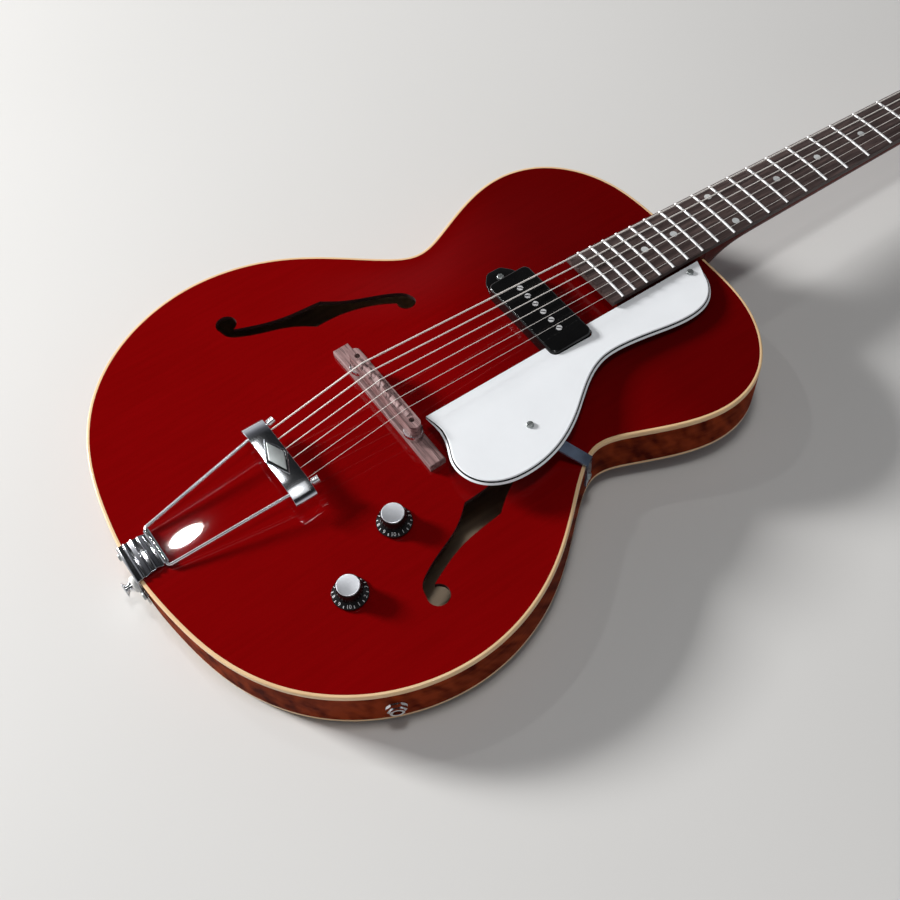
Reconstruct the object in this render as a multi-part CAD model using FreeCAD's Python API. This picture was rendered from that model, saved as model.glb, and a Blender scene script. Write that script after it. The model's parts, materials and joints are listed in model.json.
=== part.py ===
import FreeCAD, Part
import math
import os

# Archtop guitar with a hollow body, floating bridge, trapeze tailpiece and one pickup.
# Millimetres. The pieces are drawn in the body frame: X to the treble side, Y along the neck
# with 0 where the neck meets the body, Z up with 0 at the top edge of the sides.
# At the end everything is laid on its back, on the arched back and the tip of the head.

Vector = FreeCAD.Vector
UP = Vector(0, 0, 1)

# Body
upper_bout = 296.4
waist = 234.2
lower_bout = 396.8
body_length = 499.9
neck_end_y = 3.0
upper_bout_y = -76.0
waist_y = -180.8
lower_bout_y = -338.0
rim_depth = 43.0
side_thickness = 2.4
binding_width = 2.4
top_thickness = 4.0
back_thickness = 3.6
top_arch = 7.5
back_arch = 9.0
arch_spread = 1.3
arch_oval_width = 300.0
arch_oval_length = 470.0
arch_centre_y = -235.0
lining_width = 7.0
lining_height = 12.0
neck_block_width = 74.0
neck_block_depth = 48.0
tail_block_width = 70.0
tail_block_depth = 24.0
tone_bar_x = 56.0
tone_bar_width = 8.0
tone_bar_height = 12.0
tone_bar_length = 290.0
tone_bar_y = -238.0
glue_gap = 0.05
side_joint_gap = 0.1
join_tolerance = 0.01

# Sound holes, right-hand side
f_tail_eye = (145.3, -340.3)
f_tail_eye_radius = 8.2
f_neck_eye = (77.0, -216.7)
f_neck_eye_radius = 7.4
f_inner_tail = [(142.0, -347.8), (134.0, -345.8), (127.0, -337.3), (120.3, -323.5),
                (113.5, -306.5), (106.5, -295.0), (98.6, -285.6)]
f_inner_neck = [(98.6, -285.6), (98.0, -268.0), (93.8, -249.3), (86.5, -233.0), (79.5, -222.5)]
f_outer_neck = [(75.0, -209.6), (82.5, -210.6), (92.7, -221.5), (102.5, -242.0),
                (110.5, -257.1), (120.3, -270.0)]
f_outer_tail = [(120.3, -270.0), (121.4, -282.0), (123.0, -297.0), (127.5, -315.0), (135.2, -333.5)]

# Neck and fingerboard
scale_length = 647.7
fret_count = 20
joint_fret = 14
neck_tilt = 3.5
neck_height = 13.1
nut_width = 42.7
board_end_width = 57.6
board_overhang = 10.6
board_thickness = 5.5
board_radius = 305.0
fret_height = 1.1
fret_width = 2.4
fret_tang_width = 0.6
fret_tang_depth = 1.8
fret_inset = 0.4
fit_gap = 0.02
dot_radius = 3.1
dot_depth = 1.6
double_dot_spacing = 34.0
dot_frets = (3, 5, 7, 9, 15, 17)
double_dot_fret = 12
neck_depth_nut = 14.2
neck_depth_heel = 16.5
heel_depth = 46.5
heel_reach = 60.0
tenon_width = 40.0
tenon_length = 22.0
tenon_height = 30.0
tongue_inset = 2.0
tongue_length = 88.0
nut_thickness = 5.0
nut_top = 1.6
rod_radius = 2.8
rod_depth = 6.5
rod_channel_width = 6.4
rod_channel_depth = 10.0
rod_start = 12.0
rod_nut_radius = 3.8
rod_nut_length = 9.0

# Head and tuners
head_angle = 14.0
head_drop = 5.2
head_length = 167.0
head_thickness = 15.0
veneer_thickness = 1.5
head_wide = 36.5
head_wide_at = 54.0
head_end = 32.0
head_end_at = 157.0
cover_thickness = 2.0
cover_length = 42.0
cover_width = 25.0
tuner_start = 40.0
tuner_spacing = 39.0
tuner_edge = 13.0
post_radius = 3.0
post_height = 13.0
bushing_radius = 4.8
bushing_depth = 8.0
flange_radius = 7.0
flange_height = 2.2
running_gap = 0.05
gear_radius = 5.5
gear_teeth = 14
tooth_depth = 0.9
gear_thickness = 3.0
gear_level = 3.7
worm_radius = 2.6
worm_length = 9.0
mesh_gap = 0.3
key_radius = 2.0
key_tip_radius = 1.5
housing_wall = 1.2
housing_depth = 10.0
housing_inner = 7.5
housing_outer = 8.5
housing_gap = 0.8
button_start = 16.0
button_length = 19.0
button_width = 14.0
button_thickness = 7.0

# Strings, from bass to treble
string_gauges = (1.32, 1.07, 0.81, 0.61, 0.41, 0.30)
nut_spread = 35.5
saddle_spread = 52.2
bar_spread = 50.0
string_over_nut = 0.5
string_over_saddle = 3.4
string_seat_gap = 0.12
nut_slot_gap = 0.12
string_bend = 6.0
post_turns = 2.25
turn_gap = 0.55
turn_level = 7.5
turn_clearance = 0.3
ball_radius = 1.9
ball_length = 3.2

# Bridge
saddle_y = -285.0
base_y = -284.3
base_length = 129.4
base_width = 13.2
base_top = 11.8
stud_radius = 2.0
stud_spacing = 71.0
stud_top = 27.0
wheel_radius = 7.3
wheel_thickness = 3.5
wheel_lift = 4.2
saddle_gap = 0.3
saddle_length = 86.0
saddle_width = 9.4
saddle_body_top = 31.6
crest_flat = 1.0
crest_reach = 0.86
wheel_notches = 24
stud_sink = 3.5
compensation = (-1.6, -0.4, 0.8, -1.2, 0.2, 1.4)

# Tailpiece
hinge_width = 31.4
hinge_flare = 0.4
hinge_step_y = -481.5
hinge_plate = 1.3
hinge_lift = 0.6
knuckle_y = -474.9
knuckle_radius = 2.4
rod_wire = 1.2
rod_fan = 12.9
rod_end_y = -360.5
rod_end_z = 21.3
rod_corner = 2.6
rod_clearance = 0.1
rod_head_radius = 2.6
rod_head_length = 5.2
rib_radius = 1.2
rib_sites = (-482.6, -487.5, -492.4)
tail_leaf_length = 40.0
tail_leaf_width = 46.0
tail_leaf_tip = 22.0
tail_leaf_neck_z = -6.0
tail_leaf_top_z = -12.0
tail_leaf_low_z = -18.0
tail_gap = 0.2
tail_screw_x = 18.6
tail_screw_z = -14.0
tail_low_screw_z = -36.0
bar_length = 78.0
bar_width = 17.0
bar_y = -375.3
bar_top = 23.6
bar_drop = 7.6
bar_plate = 1.8
bar_end_radius = 7.3
string_hole = 1.3
string_level = 18.2
lozenge_length = 36.0
lozenge_width = 17.0
lozenge_rise = 0.7
lozenge_block = 1.8
lozenge_border = 2.2
lozenge_bevel = 0.6

# Pickup
pickup_y = -144.5
pickup_length = 84.0
pickup_width = 38.0
pickup_top = 18.5
pickup_corner = 5.5
pickup_wall = 1.6
ear_tip_x = 60.5
ear_tip_width = 13.0
ear_thickness = 2.6
ear_screw_x = 50.5
pole_span = 49.2
pole_radius = 2.4
pole_shank = 1.5
pole_proud = 0.4
pole_length = 17.0
coil_length = 72.0
coil_width = 28.0
coil_bottom = -1.0
bobbin_flange = 1.6
bobbin_groove = 2.4
winding_inset = 0.8
magnet_height = 6.0
route_gap = 1.5
pickup_gap = 0.3

# Controls
volume_site = (82.6, -333.8)
tone_site = (109.3, -387.2)
knob_radius = 12.8
knob_height = 12.6
knob_rim = 0.9
knob_skirt = 3.6
knob_hub_low = 9.2
knob_hub_high = 8.6
knob_cap_radius = 8.1
knob_cap_thickness = 0.9
knob_float = 0.6
knob_wall = 1.8
shaft_radius = 3.0
pot_bush_radius = 3.6
pot_radius = 12.0
pot_height = 9.0
pot_nut_radius = 6.2
pot_nut_height = 1.1
capacitor_radius = 4.0
capacitor_height = 3.4
jack_y = -403.0
jack_z = -22.0
jack_bore = 3.25
jack_barrel = 5.0
jack_length = 30.0
jack_bore_depth = 25.0
jack_end_radius = 4.0
jack_end_length = 2.0
jack_proud = 5.0
jack_nut_radius = 6.9
jack_nut_thickness = 2.6
jack_washer_radius = 7.4
jack_washer_thickness = 0.8
jack_relief = 0.4
lead_radius = 1.2

# Pickguard
guard_drop = 6.6
guard_thickness = 2.8
guard_gap = 0.8
guard_edge = [(34.1, -273.4), (48.9, -272.2), (63.5, -275.6), (75.6, -280.6), (89.9, -280.6),
              (102.2, -274.2), (110.4, -263.0), (114.6, -242.0), (110.1, -212.3), (93.1, -179.8),
              (76.0, -156.5), (65.1, -132.6), (64.3, -112.5), (67.9, -85.6), (71.8, -55.0),
              (66.6, -29.0), (52.9, -15.4), (29.9, -8.6)]
guard_tail_screw = (82.8, -216.3)
guard_neck_screw = (36.2, -21.7)
spacer_size = 11.0
bracket_width = 9.5
bracket_thickness = 1.6
bracket_rim_y = -194.5
bracket_leg = 26.0
bracket_screw_drop = 18.0
bracket_gap = 0.15
bracket_knee_z = 1.9
bracket_depth = 2.0
bracket_back = 7.0
bracket_bend = (105.0, -208.2)
bracket_lap = 0.6
bracket_side_gap = 0.35

# Strap button and screws
strap_z = -24.5
strap_radius = 6.2
strap_length = 6.4
washer_radius = 6.2
washer_thickness = 3.4
screw_head = 2.9
screw_head_height = 1.5
screw_shank = 1.3
screw_length = 12.0
screw_slot = 0.7

nodes = {}


def fret_position(number):
    """Distance of a fret from the neck joint towards the nut, along the neck."""
    return scale_length * (2 ** (-number / 12) - 2 ** (-joint_fret / 12))


nut_u = fret_position(0)
board_end_u = fret_position(fret_count) - board_overhang
saddle_u = fret_position(0) - scale_length
board_bottom = -fret_height - board_thickness
tail_y = neck_end_y - body_length
neck_frame = FreeCAD.Placement(Vector(0, 0, neck_height), FreeCAD.Rotation(Vector(1, 0, 0), -neck_tilt))
head_start = Vector(0, nut_u + nut_thickness, -head_drop)
head_in_neck = FreeCAD.Placement(head_start, FreeCAD.Rotation(Vector(1, 0, 0), -head_angle))
head_frame = neck_frame.multiply(head_in_neck)


def box(x0, x1, y0, y1, z0, z1):
    return Part.makeBox(x1 - x0, y1 - y0, z1 - z0, Vector(x0, y0, z0))


def rod(start, axis, length, radius):
    return Part.makeCylinder(radius, length, start, axis)


def bar(start, end, radius):
    return Part.makeCylinder(radius, (end - start).Length, start, end - start)


def placed(shape, frame):
    """A shape drawn in the neck or head frame, moved to the body frame."""
    moved = shape.copy()
    moved.Placement = frame.multiply(moved.Placement)
    return moved


def mirrored(shape):
    return shape.mirror(Vector(0, 0, 0), Vector(1, 0, 0))


def shifted(shape, z):
    moved = shape.copy()
    moved.translate(Vector(0, 0, z))
    return moved


def polygon(points):
    return Part.Face(Part.makePolygon([Vector(*p) for p in points] + [Vector(*points[0])]))


def spline(points, closed=False):
    curve = Part.BSplineCurve()
    curve.interpolate(Points=points, PeriodicFlag=closed)
    return curve.toShape()


def loft(wires, ruled=False):
    return Part.makeLoft(wires, True, ruled)


def fuse(shapes):
    return shapes[0].multiFuse(shapes[1:]).removeSplitter()


def add(name, shapes):
    nodes[name] = Part.makeCompound(shapes) if isinstance(shapes, list) else shapes


def carve(name, tools):
    nodes[name] = nodes[name].cut(tools)


# Body outline

def outline_half():
    """Right half of the body's edge, from the neck round to the tail."""
    upper = upper_bout / 2
    narrow = waist / 2
    lower = lower_bout / 2
    return [
        (0, neck_end_y), (upper - 108, neck_end_y - 0.5), (upper - 68.8, neck_end_y - 4.6),
        (upper - 32.4, neck_end_y - 20.4), (upper - 9.2, upper_bout_y + 34), (upper, upper_bout_y),
        (upper - 7.7, upper_bout_y - 39), (narrow + 7.2, waist_y + 28.3), (narrow, waist_y),
        (narrow + 11.4, waist_y - 22.2), (narrow + 33.6, waist_y - 48.9),
        (lower - 18.4, lower_bout_y + 67), (lower, lower_bout_y), (lower - 4.3, lower_bout_y - 38.4),
        (lower - 24.4, lower_bout_y - 84.5), (lower - 58.1, tail_y + 38.4),
        (lower - 103.4, tail_y + 14.9), (lower - 150.9, tail_y + 4.1), (0, tail_y)]


half = outline_half()
outline = Part.BSplineCurve()
outline.interpolate(
    Points=[Vector(x, y, 0) for x, y in half] + [Vector(-x, y, 0) for x, y in half[-2:0:-1]],
    PeriodicFlag=True)
outline_middle = outline.parameter(Vector(0, tail_y, 0))


def rim_site(t):
    """Point of the right half at t from 0 (neck) to 1 (tail), and the outward direction there."""
    parameter = outline.FirstParameter + (outline_middle - outline.FirstParameter) * t
    point = outline.value(parameter)
    tangent = outline.tangent(parameter)[0]
    outward = Vector(-tangent.y, tangent.x, 0)
    if t in (0, 1):
        point = Vector(0, point.y, 0)
        outward = Vector(0, 1 - 2 * t, 0)
    return point, outward


def rim_points(inset, count=30):
    """Closed list of points at one distance inside the edge."""
    right = []
    for k in range(count + 1):
        point, outward = rim_site(k / count)
        right.append(point - outward * inset)
    return right + [Vector(-p.x, p.y, 0) for p in right[-2:0:-1]]


def rim_at(y):
    """Site on the treble side below the waist whose Y is nearest."""
    sites = [rim_site(0.4 + 0.6 * k / 1200) for k in range(1200)]
    return min(sites, key=lambda site: abs(site[0].y - y) + (1000 if site[0].y > waist_y else 0))


def closed(points, z):
    return Part.Wire(spline([Vector(p.x, p.y, z) for p in points], True))


def slab(points, z0, z1):
    return Part.Face(closed(points, z0)).extrude(Vector(0, 0, z1 - z0))


def ring(outer, inner, z0, z1):
    return slab(rim_points(outer), z0, z1).cut(slab(rim_points(inner), z0 - 1, z1 + 1))


# Arched plates

plate_edge = rim_points(binding_width)
sections = (1.0, 0.93, 0.84, 0.72, 0.56, 0.38, 0.2, 0.08)


def oval_reach(sx, sy):
    return 1 / math.hypot(2 * sx / arch_oval_width, 2 * sy / arch_oval_length)


def reach(s, edge, oval):
    """Distance from the arch's centre: the plate's edge at s = 1, easing to an oval at the centre."""
    return s * (s * s * edge + (1 - s * s) * oval)


def contour(s):
    points = []
    for p in plate_edge:
        away = Vector(p.x, p.y - arch_centre_y, 0)
        edge = away.Length
        away.normalize()
        far = reach(s, edge, oval_reach(away.x, away.y))
        points.append(Vector(away.x * far, arch_centre_y + away.y * far, 0))
    return points


def arch_height(s, rise):
    return rise * math.cos(math.pi / 2 * s ** arch_spread) ** 2


def arched_plate(rise, thickness):
    """Outer form of a plate standing on z = 0, and the hollow under it."""
    dome = loft([closed(contour(s), arch_height(s, rise)) for s in sections])
    outer = slab(contour(1), -thickness, 0).fuse([dome], join_tolerance)
    first = sections[1]
    hollow = loft([closed(contour(s), arch_height(s, rise) - thickness) for s in sections[1:]])
    mouth = slab(contour(first), -rim_depth, arch_height(first, rise) - thickness)
    return outer, mouth.fuse([hollow], join_tolerance)


def top_height(x, y):
    """Height of the top's outside at a place."""
    away = Vector(abs(x), y - arch_centre_y, 0)
    far = away.Length
    bearing = math.atan2(away.x, away.y)
    right = plate_edge[:len(plate_edge) // 2 + 1]
    bearings = [math.atan2(p.x, p.y - arch_centre_y) for p in right]
    k = max(i for i in range(len(right) - 1) if bearings[i] <= bearing)
    share = (bearing - bearings[k]) / (bearings[k + 1] - bearings[k])
    near = Vector(right[k].x, right[k].y - arch_centre_y, 0).Length
    next_near = Vector(right[k + 1].x, right[k + 1].y - arch_centre_y, 0).Length
    edge = near + share * (next_near - near)
    oval = oval_reach(math.sin(bearing), math.cos(bearing))
    low = 0.0
    high = 1.0
    for _ in range(40):
        middle = (low + high) / 2
        if reach(middle, edge, oval) < far:
            low = middle
        else:
            high = middle
    return arch_height(low, top_arch)


def f_hole():
    """Sound hole on the treble side, as a tall cutter."""
    def run(points):
        return spline([Vector(x, y, 0) for x, y in points])
    ends = [f_inner_neck[-1], f_outer_neck[0], f_outer_tail[-1], f_inner_tail[0]]
    close_neck = Part.makeLine(Vector(*ends[0], 0), Vector(*ends[1], 0))
    close_tail = Part.makeLine(Vector(*ends[2], 0), Vector(*ends[3], 0))
    edge = Part.Wire([run(f_inner_tail), run(f_inner_neck), close_neck, run(f_outer_neck),
                      run(f_outer_tail), close_tail])
    low = Vector(0, 0, -2 * top_thickness)
    tall = Vector(0, 0, 4 * top_thickness + top_arch)
    stem = Part.Face(edge).extrude(tall)
    stem.translate(low)
    tail = rod(Vector(*f_tail_eye, 0) + low, UP, tall.z, f_tail_eye_radius)
    neck = rod(Vector(*f_neck_eye, 0) + low, UP, tall.z, f_neck_eye_radius)
    return stem.multiFuse([tail, neck])


def round_block(x_half, y_half, z0, z1, corner, centre_y):
    block = box(-x_half, x_half, centre_y - y_half, centre_y + y_half, z0, z1)
    return block.makeFillet(corner, [e for e in block.Edges if abs(e.tangentAt(e.FirstParameter).z) > 0.9])


top_outer, top_hollow = arched_plate(top_arch, top_thickness)
lining_low = -rim_depth + back_thickness
control_sites = [Vector(*volume_site, 0), Vector(*tone_site, 0)]


def make_body():
    """Plates, sides, bindings, linings, end blocks and tone bars."""
    back_outer, back_hollow = arched_plate(back_arch, back_thickness)
    opening = f_hole()
    route = round_block(coil_length / 2 + route_gap, coil_width / 2 + route_gap, -2 * top_thickness,
                        2 * top_arch, pickup_corner, pickup_y)
    pot_holes = [rod(p + Vector(0, 0, -2 * top_thickness), UP, 4 * top_arch, pot_bush_radius + glue_gap)
                 for p in control_sites]
    add("top_plate", top_outer.cut([top_hollow, opening, mirrored(opening), route] + pot_holes))
    back = back_outer.cut(back_hollow).mirror(Vector(0, 0, 0), UP)
    add("back_plate", shifted(back, -rim_depth))
    seam = box(-side_joint_gap / 2, side_joint_gap / 2, tail_y - 1, neck_end_y + 1, -rim_depth, 0)
    add("rim_sides", ring(0, side_thickness, lining_low, -top_thickness).cut(seam))
    top_binding = ring(0, binding_width, -top_thickness, 0)
    back_binding = ring(0, binding_width, -rim_depth, lining_low)
    add("bindings", [top_binding, back_binding])
    inside = slab(rim_points(side_thickness), lining_low, -top_thickness)
    neck_block = box(-neck_block_width / 2, neck_block_width / 2, neck_end_y - neck_block_depth, neck_end_y,
                     lining_low, -top_thickness).common(inside)
    tail_block = box(-tail_block_width / 2, tail_block_width / 2, tail_y, tail_y + tail_block_depth,
                     lining_low, -top_thickness).common(inside)
    lining_edge = side_thickness + lining_width
    top_lining = ring(side_thickness, lining_edge, -top_thickness - lining_height, -top_thickness)
    back_lining = ring(side_thickness, lining_edge, lining_low, lining_low + lining_height)
    blocks = [neck_block, tail_block]
    add("end_blocks", blocks)
    add("linings", [top_lining.cut(blocks), back_lining.cut(blocks)])
    bars = []
    for side in (-1, 1):
        middle = side * tone_bar_x
        half_width = tone_bar_width / 2
        half_length = tone_bar_length / 2
        strip = box(middle - half_width, middle + half_width, tone_bar_y - half_length,
                    tone_bar_y + half_length, -top_thickness - tone_bar_height, top_arch)
        bars.append(strip.common(top_hollow))
    add("tone_bars", bars)


# Neck and fingerboard

def board_half(u):
    share = (nut_u - u) / (nut_u - board_end_u)
    return (nut_width + (board_end_width - nut_width) * share) / 2


def board_crown(drop):
    """Long round bar whose top follows the fingerboard's curve, lowered by drop."""
    length = nut_u - board_end_u + 40
    axis_start = Vector(0, board_end_u - 20, -fret_height - drop - board_radius)
    return rod(axis_start, Vector(0, 1, 0), length, board_radius)


def across_board(profile, half_width):
    """Turns a profile drawn at x = 0 about the fingerboard's axis of curvature."""
    angle = math.degrees(math.asin(half_width / board_radius))
    axis_point = Vector(0, 0, -fret_height - board_radius)
    start = profile.copy()
    start.rotate(axis_point, Vector(0, 1, 0), -angle)
    return start.revolve(axis_point, Vector(0, 1, 0), 2 * angle)


def fret_profile(u):
    """Domed crown on the board's surface with a tang below."""
    base = -fret_height
    left = Vector(0, u - fret_width / 2, base)
    right = Vector(0, u + fret_width / 2, base)
    crown = Part.Arc(left, Vector(0, u, 0), right).toShape()
    tang = fret_tang_width / 2
    corners = [right, Vector(0, u + tang, base), Vector(0, u + tang, base - fret_tang_depth),
               Vector(0, u - tang, base - fret_tang_depth), Vector(0, u - tang, base), left]
    lines = [Part.makeLine(a, b) for a, b in zip(corners, corners[1:])]
    return Part.Face(Part.Wire([crown] + lines))


def slot_profile(u):
    tang = fret_tang_width / 2 + fit_gap
    low = -fret_height - fret_tang_depth - fit_gap
    return polygon([(0, u - tang, low), (0, u + tang, low), (0, u + tang, 1), (0, u - tang, 1)])


def dot_places():
    places = [(0, (fret_position(n) + fret_position(n - 1)) / 2) for n in dot_frets]
    double = (fret_position(double_dot_fret) + fret_position(double_dot_fret - 1)) / 2
    return places + [(-double_dot_spacing / 2, double), (double_dot_spacing / 2, double)]


def make_fingerboard():
    half_nut = board_half(nut_u)
    half_end = board_half(board_end_u)
    plan = polygon([(-half_nut, nut_u, board_bottom), (half_nut, nut_u, board_bottom),
                    (half_end, board_end_u, board_bottom), (-half_end, board_end_u, board_bottom)])
    board = plan.extrude(Vector(0, 0, board_thickness + 1)).common(board_crown(0))
    numbers = range(1, fret_count + 1)
    slots = [across_board(slot_profile(fret_position(n)), board_half(fret_position(n)) + 2) for n in numbers]
    pockets = []
    dots = []
    for x, u in dot_places():
        floor = Vector(x, u, -fret_height - dot_depth)
        pockets.append(rod(floor, UP, 2 * dot_depth, dot_radius + fit_gap))
        dots.append(placed(rod(floor, UP, 2 * dot_depth, dot_radius).common(board_crown(0)), neck_frame))
    add("fingerboard", placed(board.cut(slots + pockets), neck_frame))
    frets = [across_board(fret_profile(fret_position(n)), board_half(fret_position(n)) - fret_inset)
             for n in numbers]
    add("frets", [placed(f, neck_frame) for f in frets])
    add("fingerboard_dots", dots)


def neck_section(u, half_width, depth):
    """Flat top under the fingerboard and a rounded belly of the given depth."""
    belly = []
    for k in range(9):
        angle = math.pi * k / 8
        belly.append(Vector(half_width * math.cos(angle), u, board_bottom - depth * math.sin(angle) ** 0.8))
    top = Part.makeLine(belly[-1], belly[0])
    return Part.Wire([spline(belly), top])


def head_slab(b0, b1, start):
    """Plate of the head in its own frame, widening past the nut to a shallow pointed crest."""
    half_nut = nut_width / 2
    flank = [Vector(half_nut, -6, b0), Vector(half_nut, 4, b0),
             Vector((half_nut + head_wide) / 2 + 1, 28, b0), Vector(head_wide, head_wide_at, b0)]
    other_flank = [Vector(-p.x, p.y, p.z) for p in reversed(flank)]
    corner = Vector(head_end, head_end_at, b0)
    other_corner = Vector(-head_end, head_end_at, b0)
    shoulder = Vector(head_end * 0.55, head_length - 3.4, b0)
    crest = [corner, shoulder, Vector(0, head_length, b0), Vector(-shoulder.x, shoulder.y, b0), other_corner]
    edge = Part.Wire([spline(flank), Part.makeLine(flank[-1], corner), spline(crest),
                      Part.makeLine(other_corner, other_flank[0]), spline(other_flank),
                      Part.makeLine(other_flank[-1], flank[0])])
    whole = Part.Face(edge).extrude(Vector(0, 0, b1 - b0))
    return whole.cut(box(-head_wide, head_wide, -head_length, start, b0 - 1, b1 + 1))


def head_half_width(a):
    share = (a - head_wide_at) / (head_end_at - head_wide_at)
    return head_wide + (head_end - head_wide) * max(share, 0)


def tuner_sites():
    """Post centres in the head frame: three on the bass side from the nut, then three on the treble side."""
    sites = []
    for side in (-1, 1):
        for k in range(3):
            a = tuner_start + tuner_spacing * k
            sites.append((side, side * (head_half_width(a) - tuner_edge), a))
    return sites


rod_w = board_bottom - rod_depth
rod_nut_start = nut_u + nut_thickness + 5


def make_neck():
    """Neck, heel, tenon, fingerboard support and head in one piece of wood, with its truss rod."""
    heel_u = heel_reach
    depths = [(nut_u + nut_thickness, neck_depth_nut), (nut_u * 0.55, (neck_depth_nut + neck_depth_heel) / 2),
              (heel_u, neck_depth_heel)]
    shaft = loft([neck_section(u, board_half(min(u, nut_u)), d) for u, d in depths], True)
    steps = [(1.0, 0.0), (0.75, 0.05), (0.55, 0.2), (0.4, 0.44), (0.27, 0.73), (0.13, 0.93), (-0.1, 1.0)]
    heel = loft([neck_section(heel_u * share, board_half(heel_u * share),
                              neck_depth_heel + (heel_depth - neck_depth_heel) * grow)
                 for share, grow in steps])
    outside = box(-100, 100, neck_end_y, 600, -200, 100)
    stem = placed(fuse([shaft, heel]), neck_frame).common(outside)
    tenon = box(-tenon_width / 2, tenon_width / 2, neck_end_y - tenon_length, neck_end_y + 2,
                -top_thickness - tenon_height, -top_thickness - glue_gap)
    half_end = board_half(board_end_u) - tongue_inset
    tongue = placed(box(-half_end, half_end, -tongue_length, 2 * neck_end_y, -60, board_bottom), neck_frame)
    tongue = tongue.common(box(-100, 100, -300, neck_end_y, glue_gap, 100)).cut(shifted(top_outer, glue_gap))
    wood = head_slab(-head_thickness, -veneer_thickness, -6)
    wood = placed(wood, head_in_neck).cut(box(-40, 40, 0, nut_u + nut_thickness, board_bottom, 60))
    neck = fuse([stem, tenon, tongue, placed(wood, neck_frame)])
    channel = placed(box(-rod_channel_width / 2, rod_channel_width / 2, rod_start - 2, rod_nut_start + 1,
                         board_bottom - rod_channel_depth, board_bottom), neck_frame)
    pocket = placed(box(-rod_nut_radius - 1.6, rod_nut_radius + 1.6, 1.5, cover_length * 0.62,
                        -head_thickness * 0.75, 1), head_frame)
    neck = neck.cut([channel, pocket])
    veneer = placed(head_slab(-veneer_thickness, 0, 0.6), head_frame).cut(pocket)
    tuners = tuner_sites()
    bores = []
    for _, x, a in tuners:
        seat = rod(Vector(x, a, -bushing_depth), UP, bushing_depth + 1, bushing_radius)
        bores.append(placed(seat, head_frame))
        through = rod(Vector(x, a, -head_thickness - 1), UP, head_thickness + 2, post_radius + turn_clearance)
        bores.append(placed(through, head_frame))
    add("neck", neck.cut(bores))
    add("headstock_veneer", veneer.cut(bores))
    straight = rod(Vector(0, rod_start, rod_w), Vector(0, 1, 0), rod_nut_start + rod_nut_length - rod_start,
                   rod_radius)
    nut_face = Part.makePolygon([Vector(rod_nut_radius * math.cos(math.radians(60 * k)), rod_nut_start + 1,
                                        rod_w + rod_nut_radius * math.sin(math.radians(60 * k)))
                                 for k in range(7)])
    hexagon = Part.Face(nut_face).extrude(Vector(0, rod_nut_length - 2, 0))
    add("truss_rod", placed(fuse([straight, hexagon]), neck_frame))
    cover_edge = [Vector(0, 3, 0), Vector(cover_width * 0.3, 5, 0), Vector(cover_width / 2, 14, 0),
                  Vector(cover_width * 0.36, cover_length * 0.62, 0), Vector(0, cover_length, 0)]
    other_edge = [Vector(-p.x, p.y, 0) for p in reversed(cover_edge)]
    cover_plan = Part.Face(Part.Wire([spline(cover_edge), spline(other_edge)]))
    cover = cover_plan.extrude(Vector(0, 0, cover_thickness))
    add("truss_rod_cover", placed(cover, head_frame))


def string_x(spread, k):
    return spread * (k / (len(string_gauges) - 1) - 0.5)


def crown_drop(x):
    return x * x / (2 * board_radius)


post_order = (0, 1, 2, 5, 4, 3)


def over_nut(k):
    """Centre of a string where it bends over the nut, in the neck frame."""
    x = string_x(nut_spread, k)
    return Vector(x, nut_u + nut_thickness / 2, string_over_nut - crown_drop(x) + string_gauges[k] / 2)


def post_touch(k):
    """Post of a string in the head frame: side, centre, the coil's radius and where the string meets it."""
    side, post_x, post_a = tuner_sites()[post_order[k]]
    radius = post_radius + turn_clearance + string_gauges[k] / 2
    start = head_in_neck.inverse().multVec(over_nut(k))
    across = math.hypot(post_x - start.x, post_a - start.y)
    heading = math.atan2(post_a - start.y, post_x - start.x) + side * math.asin(radius / across)
    run = math.sqrt(across * across - radius * radius)
    touch = Vector(start.x + run * math.cos(heading), start.y + run * math.sin(heading), turn_level)
    return side, Vector(post_x, post_a, 0), radius, touch


def make_nut():
    """Nut with a slot for each string; behind its middle a slot turns down and sideways towards the post."""
    blank = box(-nut_width / 2, nut_width / 2, nut_u, nut_u + nut_thickness, board_bottom, nut_top + 2)
    blank = blank.common(board_crown(-fret_height - nut_top))
    slots = []
    for k, gauge in enumerate(string_gauges):
        middle = over_nut(k)
        way = head_in_neck.multVec(post_touch(k)[3]) - middle
        half_width = gauge / 2 + nut_slot_gap
        past = nut_thickness / 2 + 1

        def mouth(centre):
            low = centre.z - half_width
            high = nut_top + 3
            return Part.makePolygon([Vector(centre.x - half_width, centre.y, low),
                                     Vector(centre.x + half_width, centre.y, low),
                                     Vector(centre.x + half_width, centre.y, high),
                                     Vector(centre.x - half_width, centre.y, high),
                                     Vector(centre.x - half_width, centre.y, low)])

        front = mouth(middle - Vector(0, past, 0))
        slots.append(loft([front, mouth(middle), mouth(middle + way * (past / way.y))], True))
    add("nut", placed(blank.cut(slots), neck_frame))


# Tuners

gear_plane = -head_thickness - gear_level
worm_offset = gear_radius + worm_radius + mesh_gap


def gear_disc(x, a):
    """Spur disc with square-cut teeth, centred on the post."""
    points = []
    root = gear_radius - tooth_depth
    step = 2 * math.pi / gear_teeth
    for k in range(gear_teeth):
        for share, radius in ((0.0, root), (0.25, root), (0.35, gear_radius), (0.9, gear_radius)):
            angle = step * (k + share)
            points.append((x + radius * math.cos(angle), a + radius * math.sin(angle),
                           gear_plane - gear_thickness / 2))
    return polygon(points).extrude(Vector(0, 0, gear_thickness))


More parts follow.
